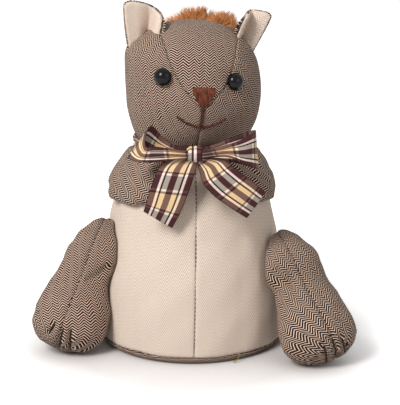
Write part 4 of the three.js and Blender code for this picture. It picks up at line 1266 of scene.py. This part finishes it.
LEFT_LOOP = [
    [(-3, -57, 167), (-3, -58, 160.5)],
    [(-13.5, -55, 169), (-15.5, -57, 158)],
    [(-21.5, -54, 174.5), (-29.5, -57, 157.5)],
    [(-29.5, -60, 185), (-47, -61, 161)],
    [(-34, -68, 179), (-45, -68, 161)],
    [(-33.5, -72, 171.5), (-39, -72, 160.5)],
    [(-27, -73, 172), (-27.5, -73, 160.5)],
    [(-18, -72, 171), (-16.5, -72, 161.5)],
    [(-2.5, -70, 168), (-2.5, -70, 162.5)],
]
RIGHT_LOOP = [
    [(7, -57, 167), (7, -58, 160.5)],
    [(18.5, -55, 170), (20, -57, 158)],
    [(30.5, -54, 175), (35, -57, 155.5)],
    [(43.5, -57, 180.5), (46, -59, 152.5)],
    [(47.5, -62, 182), (50, -63, 152)],
    [(45, -69, 181.5), (46, -69, 155)],
    [(36, -72, 177), (38.5, -72, 159)],
    [(22.5, -72, 172), (26.5, -72, 164.5)],
    [(8, -70, 168), (8, -70, 163)],
]
LEFT_END = [
    [(-2, -66, 162), (6.5, -66, 162)],
    [(-15, -67, 161.5), (4.5, -67, 158)],
    [(-23.5, -69, 156), (3.5, -69, 153.5)],
    [(-28, -71, 147), (0.5, -71, 144.5)],
    [(-31.5, -72, 136.5), (-3.5, -72, 133)],
    [(-33.5, -72, 129), (-8, -72, 122)],
    [(-36, -71, 122), (-14.5, -71, 109)],
]
RIGHT_END = [
    [(7, -66, 162.5), (3.5, -67, 160)],
    [(22.5, -68, 162), (6.5, -68, 151.5)],
    [(30, -70, 157), (9, -70, 143)],
    [(38.5, -71, 150.5), (17.5, -71, 133.5)],
    [(47, -69, 143.5), (29, -71, 125)],
    [(55.5, -66, 135.5), (41.5, -68, 116)],
]
KNOT_MIDDLE = np.array((0.0022, -0.067, 0.1652))
KNOT_HALF = np.array((0.0058, 0.006, 0.0058))


def knot_surface(u, v):
    """The knot: the ribbon wound once round, pinched at its sides."""
    angle = math.pi * 2 * v
    across = 2 * u - 1
    round_off = (1 - 0.35 * across**4) * (1 + 0.05 * np.sin(across * 9))
    x = across * KNOT_HALF[0]
    y = -np.cos(angle) * KNOT_HALF[1] * round_off
    z = np.sin(angle) * KNOT_HALF[2] * round_off
    return np.stack((x, y, z), axis=1) + KNOT_MIDDLE


def knot_flat(u, v, along_u, along_v):
    return 0.0165 + u * 0.0105, v * 0.03 + 0.012


def collar_surface(u, v):
    """The ribbon round the neck, gathered to a narrow band."""
    angle = 2 * math.pi * v
    pleat = 0.0007 * np.sin(u * 5 * math.pi + np.sin(angle * 3)) + 0.0004 * np.sin(angle * 23)
    radius = NECK_RADIUS + 0.0006 * np.sin(angle * 5) - 0.002 * (2 * u - 1) ** 2 + pleat
    height = NECK_LEVEL + GATHERED_WIDTH * u
    return np.stack((np.sin(angle) * radius, -np.cos(angle) * radius - 0.0042, height), axis=1)


def collar_flat(u, v, along_u, along_v):
    return u * RIBBON, along_v


strips = [
    ribbon_strip("bow_loop_left", LEFT_LOOP, 110, 0.003, gather=0.0016, curl=0.001),
    ribbon_strip("bow_loop_right", RIGHT_LOOP, 120, 0.01, gather=0.0016, curl=0.001),
    ribbon_strip("bow_end_left", LEFT_END, 60, 0.012, gather=0.0018, curl=0.0012),
    ribbon_strip("bow_end_right", RIGHT_END, 60, 0.012, gather=0.0018, curl=0.0012),
    lay_cloth("bow_knot", knot_surface, knot_flat, 20, 40, (), RIBBON_CLOTH, ripple=0.0003),
    lay_cloth("neck_ribbon", collar_surface, collar_flat, 20, 260, (), RIBBON_CLOTH, ripple=0.0),
]
for strip in strips:
    finish(strip, plaid, "plaid_ribbon", "ribbon_bow")


# Inside: sand bag, fillings and washers
# They don't show. The bag is plain cotton, the fillings are white fibre and the washers are moulded.

cotton, tree, shader = new_material("bag_cotton")
calico = {"Color1": rgb(232, 227, 215), "Color2": rgb(220, 214, 200), "Mortar": rgb(190, 183, 168)}
grid = add(tree, "TexBrick", {"Vector": on_piece(tree), "Scale": 900.0, **calico})
give(shader, {"Base Color": grid.outputs["Color"], "Roughness": 0.92})
fibre, tree, shader = new_material("filling_fibre")
white = blend(tree, noise(tree, 260.0, 6.0, Distortion=1.5), rgb(226, 224, 220), rgb(250, 249, 246))
give(shader, {"Base Color": white, "Roughness": 0.97})
moulded, tree, shader = new_material("washer_plastic")
shade = blend(tree, noise(tree, 120.0, 2.0), rgb(226, 226, 220), rgb(240, 240, 235))
give(shader, {"Base Color": shade, "Roughness": 0.45})
for node_name, material in {
    "sand_bag": cotton,
    "body_filling": fibre,
    "head_filling": fibre,
    "eye_washer_left": moulded,
    "eye_washer_right": moulded,
}.items():
    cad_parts[node_name].data.materials.clear()
    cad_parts[node_name].data.materials.append(material)
